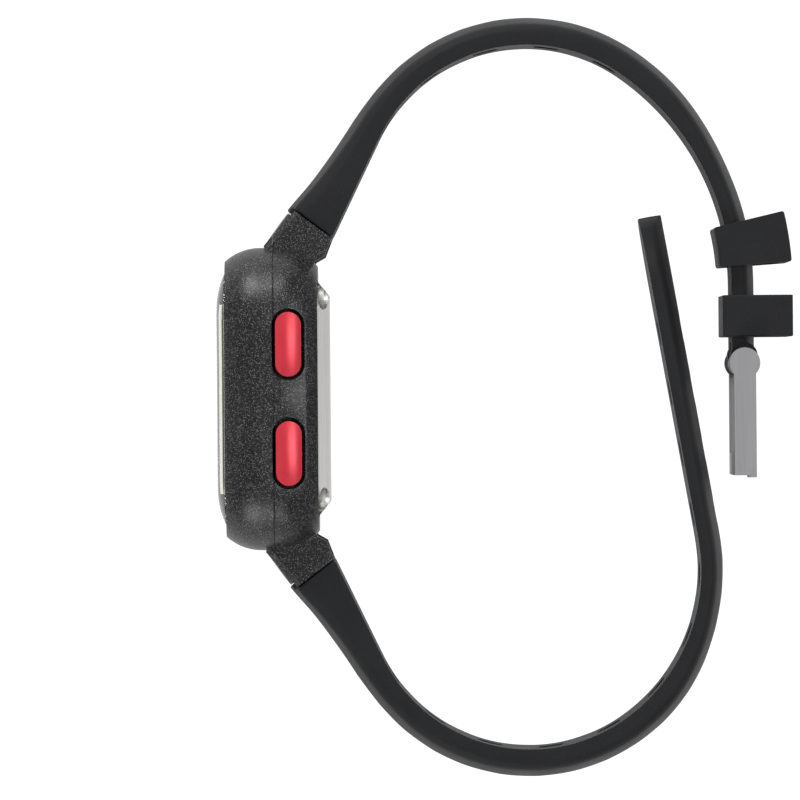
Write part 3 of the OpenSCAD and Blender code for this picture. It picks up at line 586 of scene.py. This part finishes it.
@dataclass
class StrapPath:
    """Path of a strap half's inner face in the side view, for the half at 12 o'clock."""

    second_r: float
    turn: float
    straight: float
    lug_tip: Vector = field(default_factory=lambda: Vector((7.73, 20.76)))
    lug_t: float = 5.11
    lug_angle: float = 53.13
    gap: float = 0.15
    bend_at: Vector = field(default_factory=lambda: Vector((33.45, 20.8)))
    bend_r: float = 18.1
    bend_angle: float = 55.0
    bar_back: float = 1.6

    def __post_init__(self) -> None:
        """Works the path's stretches out from its driving sizes."""
        lug = math.radians(self.lug_angle)
        along = Vector((math.cos(lug), math.sin(lug)))
        across = Vector((-along.y, along.x))
        self.bar_at = self.lug_tip - across * self.lug_t / 2 - along * self.bar_back
        self.start = self.lug_tip - across * self.lug_t + along * self.gap
        reach = self.bend_at - self.start
        self.heading = math.atan2(reach.y, reach.x) + math.asin(self.bend_r / reach.length)
        self.line_len = math.sqrt(reach.length_squared - self.bend_r ** 2)
        self.first_angle = self.heading + math.pi / 2
        turned = math.radians(self.bend_angle)
        self.bend_len = self.bend_r * (self.first_angle - turned)
        self.second_at = self.bend_at + (self.bend_r - self.second_r) * self.unit(turned)
        self.second_len = self.second_r * math.radians(self.turn)
        self.length = self.line_len + self.bend_len + self.second_len + self.straight

    @staticmethod
    def unit(angle: float) -> Vector:
        """Gives the unit vector at an angle in radians."""
        return Vector((math.cos(angle), math.sin(angle)))

    def at(self, s: float) -> tuple[Vector, float]:
        """Finds a place on the path.

        Args:
            s: Distance from the lug.

        Returns:
            The point and the heading in radians.
        """
        if s < self.line_len:
            return self.start + s * self.unit(self.heading), self.heading
        if s < self.line_len + self.bend_len:
            angle = self.first_angle - (s - self.line_len) / self.bend_r
            return self.bend_at + self.bend_r * self.unit(angle), angle - math.pi / 2
        past = s - self.line_len - self.bend_len
        angle = math.radians(self.bend_angle) - min(past, self.second_len) / self.second_r
        left = max(0.0, past - self.second_len)
        heading = angle - math.pi / 2
        return self.second_at + self.second_r * self.unit(angle) + left * self.unit(heading), heading


def clamp(t: float) -> float:
    """Keeps a number between 0 and 1."""
    return max(0.0, min(1.0, t))


def ease(t: float) -> float:
    """Smooth step between 0 and 1."""
    c = clamp(t)
    return c * c * (3 - 2 * c)


@dataclass
class StrapShape:
    """Cross-section of the strap along its length."""

    lug_w: float = 22.0
    end_w: float = 18.0
    lug_t: float = 5.84
    wrist_t: float = 3.2
    end_t: float = 2.6
    root_len: float = 17.0
    root_power: float = 1.6
    thin_from: float = 46.0
    thin_over: float = 14.0
    crown: float = 1.05
    crown_power: float = 2.5
    root_flat: float = 0.32
    root_flat_len: float = 12.0
    shoulder_len: float = 16.0
    taper_len: float = 60.0

    def thick(self, s: float) -> float:
        """Thickness at the middle, s millimetres from the lug."""
        root = (self.lug_t - self.wrist_t) * max(0.0, 1 - s / self.root_len) ** self.root_power
        return self.wrist_t + root - (self.wrist_t - self.end_t) * ease((s - self.thin_from) / self.thin_over)

    def crown_at(self, s: float) -> float:
        """Rise of the crown over the edges, s millimetres from the lug."""
        return min(self.crown, self.thick(s) / 2) - self.root_flat * (1 - ease(s / self.root_flat_len))

    def width(self, s: float) -> float:
        """Width, s millimetres from the lug."""
        wider = (1 - ease(s / self.shoulder_len) + 1 - ease(s / self.taper_len)) / 2
        return self.end_w + (self.lug_w - self.end_w) * wider


def finish_piece(name: str, bm: bmesh.types.BMesh, material: bpy.types.Material,
                 smooth: bool = True) -> bpy.types.Object:
    """Turns a bmesh into an object at the origin.

    Args:
        name: The piece's name.
        bm: Its mesh, in scene metres.
        material: Its material.
        smooth: Whether faces are shaded smooth.

    Returns:
        The new object, linked to the scene.
    """
    mesh = bpy.data.meshes.new(name)
    for face in bm.faces:
        face.smooth = smooth
    bm.to_mesh(mesh)
    bm.free()
    mesh.materials.append(material)
    piece = bpy.data.objects.new(name, mesh)
    bpy.context.scene.collection.objects.link(piece)
    return piece


def bevel(bm: bmesh.types.BMesh, edges: list[bmesh.types.BMEdge], width: float, segments: int = 2) -> None:
    """Rounds edges.

    Args:
        bm: The mesh.
        edges: Its edges to round.
        width: Width of the rounding.
        segments: Steps across it.
    """
    bmesh.ops.bevel(bm, geom=edges, offset=width, segments=segments, profile=0.5, affect="EDGES",
                    clamp_overlap=True, material=-1)


def bevel_sharp(bm: bmesh.types.BMesh, width: float, angle: float = 40.0,
                keep: Callable[[bmesh.types.BMEdge], bool] = lambda edge: False) -> None:
    """Rounds every edge sharper than an angle.

    Args:
        bm: The mesh.
        width: Width of the rounding.
        angle: Least angle between faces, in degrees.
        keep: Tells which edges stay sharp all the same.
    """
    sharp = [e for e in bm.edges
             if len(e.link_faces) == 2 and e.calc_face_angle(0) > math.radians(angle) and not keep(e)]
    bevel(bm, sharp, width)


def raise_faces(bm: bmesh.types.BMesh, height: float) -> None:
    """Extrudes every face along z.

    Args:
        bm: The mesh.
        height: How far.
    """
    made = bmesh.ops.extrude_face_region(bm, geom=bm.faces[:])
    moved = [v for v in made["geom"] if isinstance(v, bmesh.types.BMVert)]
    bmesh.ops.translate(bm, verts=moved, vec=(0, 0, height))


def delete_faces(bm: bmesh.types.BMesh, gone: Callable[[Vector], bool]) -> None:
    """Deletes the faces whose middles meet a rule."""
    bmesh.ops.delete(bm, geom=[f for f in bm.faces if gone(f.calc_center_median())], context="FACES")


def move_all(bm: bmesh.types.BMesh, rule: Callable[[Vector], Vector]) -> None:
    """Moves every vertex by a rule."""
    for vert in bm.verts:
        vert.co = rule(vert.co)


@dataclass(frozen=True)
class Eye:
    """An eye in the rubber: radii of its bore and its outside, and how far it runs on into the band."""

    bore_r: float
    outer_r: float
    reach: float


@dataclass
class StrapHalf:
    """One half of the strap: a slotted rubber band, its tab at the lug and its free end."""

    half: Half
    path: StrapPath
    slot_count: int
    round_end: bool
    shape: StrapShape = field(default_factory=StrapShape)
    # The slots: the first one's distance from the lug, the next ones' steps, and their sizes.
    slot_first: float = 14.2
    slot_pitch: float = 6.82
    slot_len: float = 2.8
    slot_wid: float = 7.0
    # The flat band: its thickness, and the rows and lanes that it is cut in.
    flat_t: float = 3.0
    row: float = 1.1
    row_least: float = 0.55
    slot_rows: tuple[float, ...] = (0.3, 0.85, 2.1)
    slot_lane: float = 0.7
    lanes: tuple[float, ...] = (0.8, 4.7, 5.9, 7.1, 9.0, 9.7)
    cut_merge: float = 0.00001
    # The lug end: a tongue between the cheeks, and the length in which its skewed edge turns square.
    tongue: float = 0.63
    tongue_half: float = 8.25
    skew_len: float = 5.0
    # The free ends: the notch for the prong, and the round tip with its rows in degrees.
    notch: float = 2.65
    notch_len: float = 2.3
    tip_len: float = 9.0
    tip_rows: tuple[float, ...] = (50, 60, 68, 75, 80)
    tip_power: float = 2.2
    tip_least: float = 0.16
    # The rounding of the edges.
    crown_edge: float = 1.15
    crown_steps: int = 6
    fine_edge: float = 0.16
    end_edge: float = 0.08
    slack: float = 0.001
    # The eyes round the spring bar and the buckle's pin.
    tab: Eye = Eye(0.93, 1.5, 1.4)
    tab_half: float = 8.3
    pin_eye: Eye = Eye(0.73, 1.5, 0.8)
    eye_steps: int = 40
    eye_slope: float = 4.0
    eye_edge: float = 0.12

    def slot_places(self) -> list[float]:
        """Distances of the slots' middles from the lug."""
        return [self.slot_first + k * self.slot_pitch for k in range(self.slot_count)]

    def cuts_along(self) -> list[float]:
        """Works out where the flat band is cut across, with rows of their own for slots and bends.

        Returns:
            Distances from the lug, in order.
        """
        cuts: list[float] = [self.end_edge - self.tongue, 0.0, self.end_edge]
        steps = (*self.slot_rows, self.slot_len / 2)
        for middle in self.slot_places():
            cuts += [middle + side * step for side in (-1, 1) for step in steps]
        taken = list(cuts)
        count = int(self.path.length / self.row)
        for k in range(1, count):
            s = self.path.length * k / count
            if all(abs(s - other) > self.row_least for other in taken):
                cuts.append(s)
        if self.round_end:
            shares = [1 - math.sin(math.radians(turn)) for turn in self.tip_rows]
            cuts += [self.path.length - self.tip_len * share for share in shares]
        else:
            cuts.append(self.path.length - self.notch_len)
        return sorted(cuts)

    def cuts_across(self) -> list[float]:
        """Works out where the flat band is cut lengthwise.

        Returns:
            Distances from its middle, in order.
        """
        straight = (self.slot_wid - self.slot_len) / 2
        sides = [*self.lanes, straight, straight + self.slot_lane, self.slot_wid / 2, self.tongue_half]
        if not self.round_end:
            sides.append(self.notch)
        return sorted([-c for c in sides] + sides)

    def cut(self, bm: bmesh.types.BMesh, places: Iterable[float], normal: Vector) -> None:
        """Cuts the flat band by planes.

        Args:
            bm: The flat band.
            places: Distances of the planes from the origin.
            normal: Their common normal.
        """
        for place in places:
            everything = bm.verts[:] + bm.edges[:] + bm.faces[:]
            bmesh.ops.bisect_plane(bm, geom=everything, plane_co=normal * place, plane_no=normal,
                                   dist=self.cut_merge)

    def flat_band(self) -> bmesh.types.BMesh:
        """Builds the flat band with its slots, x along the strap and y across it.

        Returns:
            A closed band of even thickness, in millimetres.
        """
        bm = bmesh.new()
        half_w = self.shape.lug_w / 2
        low, high = -self.tongue, self.path.length
        corners = [(low, -half_w), (high, -half_w), (high, half_w), (low, half_w)]
        bm.faces.new([bm.verts.new((x, y, 0)) for x, y in corners])
        self.cut(bm, self.cuts_along(), Vector((1, 0, 0)))
        self.cut(bm, self.cuts_across(), Vector((0, 1, 0)))
        for middle in self.slot_places():
            self.open_slot(bm, middle)
        delete_faces(bm, lambda co: co.x < 0 and abs(co.y) > self.tongue_half)
        if not self.round_end:
            delete_faces(bm, lambda co: co.x > high - self.notch_len and abs(co.y) < self.notch)
        bmesh.ops.recalc_face_normals(bm, faces=bm.faces)
        bmesh.ops.solidify(bm, geom=bm.faces[:], thickness=-self.flat_t)
        bmesh.ops.recalc_face_normals(bm, faces=bm.faces)
        return bm

    def soften(self, bm: bmesh.types.BMesh) -> None:
        """Rounds the long outer edges widely and every other sharp edge finely.

        Args:
            bm: The flat band.
        """
        side = self.shape.lug_w / 2 - self.slack
        top = max(v.co.z for v in bm.verts) - self.slack
        crowned = [e for e in bm.edges if all(v.co.z > top and abs(v.co.y) > side for v in e.verts)]
        bevel(bm, crowned, self.crown_edge, self.crown_steps)
        bevel_sharp(bm, self.fine_edge, keep=lambda e: all(v.co.x < self.slack for v in e.verts))

    def open_slot(self, bm: bmesh.types.BMesh, middle: float) -> None:
        """Deletes the faces in a slot and rounds its ends.

        Args:
            bm: The flat band.
            middle: Distance of the slot from the lug.
        """
        radius = self.slot_len / 2
        straight = self.slot_wid / 2 - radius
        inside = []
        for face in bm.faces:
            centre = face.calc_center_median()
            if abs(centre.x - middle) < radius and abs(centre.y) < self.slot_wid / 2:
                inside.append(face)
        rim = {v for f in inside for v in f.verts if any(g not in inside for g in v.link_faces)}
        bmesh.ops.delete(bm, geom=inside, context="FACES")
        for vert in rim:
            if vert.is_valid and abs(vert.co.y) > straight:
                end = Vector((middle, math.copysign(straight, vert.co.y), 0))
                vert.co = end + (vert.co - end).normalized() * radius

    def bend(self, layout: Layout) -> Callable[[Vector], Vector]:
        """Gives the rule that bends the flat band onto the path.

        Args:
            layout: Where the watch lies in the scene.

        Returns:
            A rule from flat millimetres to scene metres.
        """
        start_skew = self.path.heading - math.radians(self.path.lug_angle)

        def rule(co: Vector) -> Vector:
            """Bends one vertex.

            Args:
                co: Its place in the flat band.

            Returns:
                Its place in the scene.
            """
            s, across = co.x, 2 * co.y / self.shape.lug_w
            width = self.shape.width(s)
            if self.round_end:
                into_tip = max(0.0, (s - self.path.length + self.tip_len) / self.tip_len)
                width *= max(self.tip_least, math.sqrt(max(0.0, 1 - into_tip ** self.tip_power)))
            crown = self.shape.crown_at(s)
            outer = self.shape.thick(s) - crown * abs(across) ** self.shape.crown_power
            point, heading = self.path.at(s)
            normal = heading + math.pi / 2 - start_skew * (1 - ease(s / self.skew_len))
            flat = point + outer * co.z / self.flat_t * self.path.unit(normal)
            return layout.point(flat.x, self.half.value * flat.y, across * width / 2)

        return rule
    def band(self, layout: Layout, material: bpy.types.Material) -> bpy.types.Object:
        """Builds the band as a piece that stands for the solid half.

        Args:
            layout: Where the watch lies in the scene.
            material: The rubber.

        Returns:
            The band.
        """
        bm = self.flat_band()
        self.soften(bm)
        move_all(bm, self.bend(layout))
        bmesh.ops.recalc_face_normals(bm, faces=bm.faces)
        piece = finish_piece(f"strap_band_{self.half.name.lower()}", bm, material)
        rounder = piece.modifiers.new("round", "SUBSURF")
        rounder.levels = rounder.render_levels = 1
        return piece

    def eye(self, layout: Layout, material: bpy.types.Material, name: str, size: Eye, middle: Vector,
            angle: float, spans: Iterable[tuple[float, float]]) -> bpy.types.Object:
        """Builds rounded eyes with a bore, as where the strap turns on a pin.

        Args:
            layout: Where the watch lies in the scene.
            material: The rubber.
            name: The piece's name.
            size: The eye's sizes.
            middle: Centre of the bore in the side view.
            angle: Direction in which it runs on into the band, in radians.
            spans: Where it lies across the strap.

        Returns:
            The piece.
        """
        bm = bmesh.new()
        for low, high in spans:
            part = bmesh.new()
            bmesh.ops.create_circle(part, segments=self.eye_steps, radius=size.bore_r)
            outer = bmesh.ops.create_circle(part, segments=self.eye_steps, radius=size.outer_r)
            for vert in outer["verts"]:
                vert.co.x += size.reach * clamp(vert.co.x * self.eye_slope)
            bmesh.ops.bridge_loops(part, edges=part.edges[:])
            raise_faces(part, high - low)
            bmesh.ops.translate(part, verts=part.verts, vec=(0, 0, low))
            bmesh.ops.recalc_face_normals(part, faces=part.faces)
            bevel_sharp(part, self.eye_edge)
            bmesh.ops.transform(part, matrix=Matrix.Rotation(angle, 4, "Z"), verts=part.verts)
            mesh = bpy.data.meshes.new("part")
            part.to_mesh(mesh)
            part.free()
            bm.from_mesh(mesh)
            bpy.data.meshes.remove(mesh)
        side = self.half.value
        move_all(bm, lambda co: layout.point(middle.x + co.x, side * (middle.y + co.y), co.z))
        bmesh.ops.recalc_face_normals(bm, faces=bm.faces)
        return finish_piece(name, bm, material, smooth=False)

    def build(self, layout: Layout, finishes: Finishes) -> None:
        """Builds the half and gives it to its body.

        Args:
            layout: Where the watch lies in the scene.
            finishes: The watch's finishes.
        """
        name = self.half.name.lower()
        rubber = finishes.rubber.material()
        lug = math.radians(self.path.lug_angle)
        sides = [(-self.tab_half, self.tab_half)]
        pieces = [self.band(layout, rubber),
                  self.eye(layout, rubber, f"strap_tab_{name}", self.tab, self.path.bar_at, lug, sides)]
        if not self.round_end:
            end, heading = self.path.at(self.path.length)
            pin = end + self.shape.end_t / 2 * self.path.unit(heading + math.pi / 2)
            back = heading + math.pi
            sides = [(-self.shape.end_w / 2, -self.notch), (self.notch, self.shape.end_w / 2)]
            pieces.append(self.eye(layout, rubber, f"strap_eye_{name}", self.pin_eye, pin, back, sides))
        for piece in pieces:
            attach(piece, f"strap_{name}")
            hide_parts(f"strap_{name}")
            log.info("built %s", piece.name)


@dataclass(frozen=True)
class FaceLine:
    """A line of figures: its base, the size of its figures and its shift off the middle."""

    text: str
    low: float
    scale: float
    shift: float = 0.0


@dataclass
class DisplayFace:
    """Plain seven-segment numbers on the display."""

    lines: tuple[FaceLine, ...] = (FaceLine("10:58", -4.6, 0.82), FaceLine("36", 3.4, 0.5, 4.6))
    digit_h: float = 6.4
    digit_w: float = 3.3
    stroke: float = 1.05
    gap: float = 0.7
    lean: float = 0.06
    tip_share: float = 0.9
    tip_gap: float = 0.06
    colon_step: float = 1.5
    colon_r: float = 0.42
    colon_shift: float = 0.1
    colon_levels: tuple[float, float] = (0.3, 0.7)
    thickness: float = 0.03
    lift: float = 0.04

    SEGMENTS = {"0": "abcdef", "1": "bc", "2": "abdeg", "3": "abcdg", "4": "bcfg", "5": "acdfg",
                "6": "acdefg", "7": "abc", "8": "abcdefg", "9": "abcdfg"}

    def segment(self, bm: bmesh.types.BMesh, middle: Vector, length: float, upright: bool,
                scale: float) -> None:
        """Adds one hexagonal segment.

        Args:
            bm: The mesh in display millimetres, x to the right and y up.
            middle: Its centre.
            length: Its length.
            upright: Whether it stands.
            scale: Size of the digit.
        """
        radius = self.stroke * scale / 2
        made = bmesh.ops.create_circle(bm, cap_ends=True, segments=6, radius=radius)
        for vert in made["verts"]:
            along = vert.co.x + math.copysign(length / 2 - radius, vert.co.x)
            if abs(vert.co.x) > self.tip_share * radius:
                along = math.copysign(length / 2 - self.tip_gap, vert.co.x)
            x, y = (vert.co.y, along) if upright else (along, vert.co.y)
            vert.co = Vector((middle.x + x + self.lean * (middle.y + y), middle.y + y, 0))

    def digit(self, bm: bmesh.types.BMesh, figure: str, left: float, line: FaceLine) -> None:
        """Adds one figure.

        Args:
            bm: The mesh.
            figure: The figure to draw.
            left: Its left edge.
            line: The line that it stands in.
        """
        w, h = self.digit_w * line.scale, self.digit_h * line.scale
        places = {"a": (w / 2, h, 0), "b": (w, 0.75 * h, 1), "c": (w, 0.25 * h, 1), "d": (w / 2, 0, 0),
                  "e": (0, 0.25 * h, 1), "f": (0, 0.75 * h, 1), "g": (w / 2, h / 2, 0)}
        for key in self.SEGMENTS[figure]:
            x, y, upright = places[key]
            middle = Vector((left + x, line.low + y))
            self.segment(bm, middle, h / 2 if upright else w, bool(upright), line.scale)

    def colon(self, bm: bmesh.types.BMesh, left: float, line: FaceLine) -> None:
        """Adds the two dots of a colon.

        Args:
            bm: The mesh.
            left: Its left edge.
            line: The line that it stands in.
        """
        for level in self.colon_levels:
            dot = bmesh.ops.create_circle(bm, cap_ends=True, segments=16, radius=self.colon_r * line.scale)
            height = line.low + level * self.digit_h * line.scale
            bmesh.ops.translate(bm, verts=dot["verts"], vec=(left + self.colon_shift, height, 0))

    def write(self, bm: bmesh.types.BMesh, line: FaceLine) -> None:
        """Adds a centred line of figures and colons.

        Args:
            bm: The mesh.
            line: The line.
        """
        wide = self.digit_w + self.stroke + self.gap
        steps = [(self.colon_step if c == ":" else wide) * line.scale for c in line.text]
        left = line.shift - (sum(steps) - self.stroke * line.scale) / 2
        for c, step in zip(line.text, steps):
            if c == ":":
                self.colon(bm, left, line)
            else:
                self.digit(bm, c, left, line)
            left += step

    def build(self, layout: Layout, finishes: Finishes) -> None:
        """Builds the numbers just in front of the display glass.

        Args:
            layout: Where the watch lies in the scene.
            finishes: The watch's finishes.
        """
        bm = bmesh.new()
        for line in self.lines:
            self.write(bm, line)
        raise_faces(bm, self.thickness)
        front = (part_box("lcd_panel")[0].x - layout.rim_x) / MM
        move_all(bm, lambda co: layout.point(front - self.lift - co.z, co.y, co.x))
        bmesh.ops.recalc_face_normals(bm, faces=bm.faces)
        piece = finish_piece("display_numbers", bm, finishes.digits.material(), smooth=False)
        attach(piece, "case")
        log.info("built %s", piece.name)


@dataclass
class SolidPieces:
    """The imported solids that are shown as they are, with their finishes and softened edges."""

    weld: float = 0.000002
    sharp: float = 35.0
    segments: int = 2

    def dress(self, node: str, finish: Finish, edge: float = 0.0) -> None:
        """Gives a solid its finish, and rounds its edges.

        Args:
            node: The solid's name.
            finish: Its finish.
            edge: Width of the rounding, in millimetres.
        """
        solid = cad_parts[node]
        solid.data.materials.clear()
        solid.data.materials.append(finish.material())
        if edge > 0:
            merge = solid.modifiers.new("merge", "WELD")
            merge.merge_threshold = self.weld
            rounding = solid.modifiers.new("edges", "BEVEL")
            rounding.limit_method = "ANGLE"
            rounding.angle_limit = math.radians(self.sharp)
            rounding.width = edge * MM
            rounding.segments = self.segments
        log.info("dressed %s in %s", node, finish.name)
    def build(self, finishes: Finishes) -> None:
        """Dresses every solid by the first plan that its name starts like.

        Args:
            finishes: The watch's finishes.
        """
        screw_starts = ("quartz_can", "module_screws", "coin_cell", "cell_clip", "clip_", "spring_", "bar_")
        plans = (
            (finishes.case, 0.12, ("case_shell",)),
            (finishes.seal, 0, ("crystal_gasket", "back_gasket", "seal_")),
            (finishes.crystal, 0.1, ("crystal",)),
            (finishes.mask, 0, ("dial_mask",)),
            (finishes.red, 0.22, ("button_",)),
            (finishes.plate, 0.2, ("lug_plate_",)),
            (finishes.back, 0.12, ("case_back",)),
            (finishes.screw, 0.05, ("back_screws",)),
            (finishes.screw, 0, screw_starts),
            (finishes.display, 0, ("lcd_panel",)),
            (finishes.light, 0, ("light_panel",)),
            (finishes.silicone, 0, ("connector_strips",)),
            (finishes.white, 0, ("module_frame",)),
            (finishes.board, 0, ("circuit_board",)),
            (finishes.resin, 0, ("chip_cover",)),
            (finishes.grey, 0, ("cell_holder",)),
            (finishes.foam, 0, ("cushion_pad",)),
            (finishes.brass, 0, ("buzzer_", "switch_leaves")),
            (finishes.rubber, 0.25, ("keeper_",)),
            (finishes.buckle, 0.35, ("buckle_frame",)),
            (finishes.buckle, 0.2, ("buckle_prong",)),
            (finishes.buckle, 0.1, ("buckle_pin",)),
        )
        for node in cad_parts:
            for finish, edge, starts in plans:
                if node.startswith(starts):
                    self.dress(node, finish, edge)
                    break

@dataclass
class CoilSprings:
    """The coil springs of the buttons and the spring bars, which on the watch shorten as these are pressed;
    here each only gets a mesh of its own.
    """

    press: float = 0.6
    release: float = 1.1

    def build(self, layout: Layout) -> None:
        """Gives every spring a mesh of its own, and logs which joint presses it.

        Args:
            layout: Where the watch lies in the scene; not used.
        """
        for node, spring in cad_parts.items():
            if node.startswith("bar_spring_"):
                joint, travel = node.replace("bar_spring", "bar_release"), self.release
            elif node.startswith("spring_"):
                joint, travel = node.replace("spring", "press"), self.press
            else:
                continue
            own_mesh(spring)
            log.info("%s shortens with %s", node, joint)


@dataclass(frozen=True)
class Lamp:
    """A soft square lamp: its place off the watch's middle and its width in metres, its power in watts."""

    name: str
    place: tuple[float, float, float]
    size: float
    power: float


@dataclass
class Studio:
    """A pale table seen from above, soft lamps, and the photograph's long lens."""

    frame_px: float = 800.0
    px_per_mm: float = 9.0
    rim_px: float = 226.8
    middle_px: Vector = field(default_factory=lambda: Vector((275.0, 399.0)))
    roll: float = 0.45
    distance: float = 1.4
    sensor: float = 36.0
    clip: tuple[float, float] = (0.1, 10.0)
    white_glow: float = 1.12
    mirrored_glow: float = 0.6
    table_size: float = 2.0
    table_colour: tuple[float, float, float] = (0.82, 0.82, 0.82)
    table_roughness: float = 0.8
    table_white: float = 0.97
    sky: float = 0.16
    aim_x: float = 20.0
    lamps: tuple[Lamp, ...] = (
        Lamp("left softbox", (-0.6, 0.0, 0.3), 0.3, 0.1),
        Lamp("right softbox", (0.36, 0.06, 0.6), 0.35, 1.65),
        Lamp("upper softbox", (-0.18, 0.58, 0.34), 0.25, 2.9),
        Lamp("lower softbox", (-0.18, -0.58, 0.34), 0.25, 1.8),
    )
    def camera(self, layout: Layout) -> None:
        """Places the camera straight above the watch's side, turned as the photograph is.

        Args:
            layout: Where the watch lies in the scene.
        """
        roll = math.radians(self.roll)
        dx = self.frame_px / 2 - self.middle_px.x
        dy = self.frame_px / 2 - self.middle_px.y
        x = (self.middle_px.x - self.rim_px + dx * math.cos(roll) - dy * math.sin(roll)) / self.px_per_mm
        y = (-dx * math.sin(roll) - dy * math.cos(roll)) / self.px_per_mm
        data = bpy.data.cameras.new("camera")
        data.sensor_width = self.sensor
        data.lens = self.sensor * self.distance / (self.frame_px / self.px_per_mm * MM)
        data.clip_start, data.clip_end = self.clip
        camera = bpy.data.objects.new("camera", data)
        camera.location = layout.point(x, y) + Vector((0, 0, self.distance))
        camera.rotation_euler = (0, 0, -roll)
        bpy.context.scene.collection.objects.link(camera)
        bpy.context.scene.camera = camera

    def light(self, lamp: Lamp, target: Vector) -> None:
        """Adds a soft lamp.

        Args:
            lamp: The lamp.
            target: The watch's middle, which it faces.
        """
        data = bpy.data.lights.new(lamp.name, "AREA")
        data.size = lamp.size
        data.energy = lamp.power
        hung = bpy.data.objects.new(lamp.name, data)
        hung.location = target + Vector(lamp.place)
        hung.rotation_euler = (target - hung.location).to_track_quat("-Z", "Y").to_euler()
        bpy.context.scene.collection.objects.link(hung)

    def white(self, nodes: Nodes, shader: bpy.types.NodeSocket) -> bpy.types.NodeSocket:
        """Mixes the table's shader with plain white, less of it for what mirrors the table.

        Args:
            nodes: The tree.
            shader: The shader to mix.

        Returns:
            The mixed shader's socket.
        """
        path = nodes.add("LightPath")
        mirrored = nodes.math("MULTIPLY", path.outputs["Is Glossy Ray"], self.mirrored_glow)
        rays = nodes.math("MAXIMUM", path.outputs["Is Camera Ray"], mirrored)
        glow = nodes.add("Emission", Color=(1, 1, 1, 1), Strength=self.white_glow)
        return nodes.blend(nodes.math("MULTIPLY", rays, self.table_white), shader, glow.outputs[0])

    def table(self) -> None:
        """Adds the pale table under the watch."""
        bm = bmesh.new()
        bmesh.ops.create_grid(bm, x_segments=1, y_segments=1, size=self.table_size)
        material = bpy.data.materials.new("table")
        material.use_nodes = True
        nodes = Nodes(material.node_tree)
        shader = material.node_tree.nodes["Principled BSDF"]
        shader.inputs["Base Color"].default_value = rgba(self.table_colour)
        shader.inputs["Roughness"].default_value = self.table_roughness
        output = material.node_tree.nodes["Material Output"]
        nodes.feed(output, "Surface", self.white(nodes, shader.outputs[0]))
        floor = finish_piece("table", bm, material)

    def build(self, layout: Layout) -> None:
        """Sets the camera, table, sky and lamps.

        Args:
            layout: Where the watch lies in the scene.
        """
        scene = bpy.context.scene
        scene.view_settings.view_transform = "Standard"
        world = bpy.data.worlds.new("studio")
        world.use_nodes = True
        scene.world = world
        nodes = Nodes(world.node_tree)
        dim = world.node_tree.nodes["Background"]
        dim.inputs["Color"].default_value = (1, 1, 1, 1)
        dim.inputs["Strength"].default_value = self.sky
        bright = nodes.add("Background", Color=(1, 1, 1, 1), Strength=1.0)
        seen = nodes.add("LightPath").outputs["Is Camera Ray"]
        shown = nodes.blend(seen, dim.outputs[0], bright.outputs[0])
        nodes.feed(world.node_tree.nodes["World Output"], "Surface", shown)
        self.camera(layout)
        self.table()
        for lamp in self.lamps:
            self.light(lamp, layout.point(self.aim_x, 0))


def main() -> None:
    """Builds the studio, dresses the solids and adds the modelled pieces."""
    logging.basicConfig(level=logging.INFO, format="%(message)s")
    layout = Layout.from_solids()
    finishes = Finishes(layout)
    Studio().build(layout)
    SolidPieces().build(finishes)
    CoilSprings().build(layout)
    upper = StrapPath(second_r=28.5, turn=55.0, straight=8.7)
    lower = StrapPath(second_r=20.0, turn=65.0, straight=36.0)
    StrapHalf(Half.UPPER, upper, slot_count=5, round_end=False).build(layout, finishes)
    StrapHalf(Half.LOWER, lower, slot_count=12, round_end=True).build(layout, finishes)
    DisplayFace().build(layout, finishes)


if __name__ == "__main__":
    main()
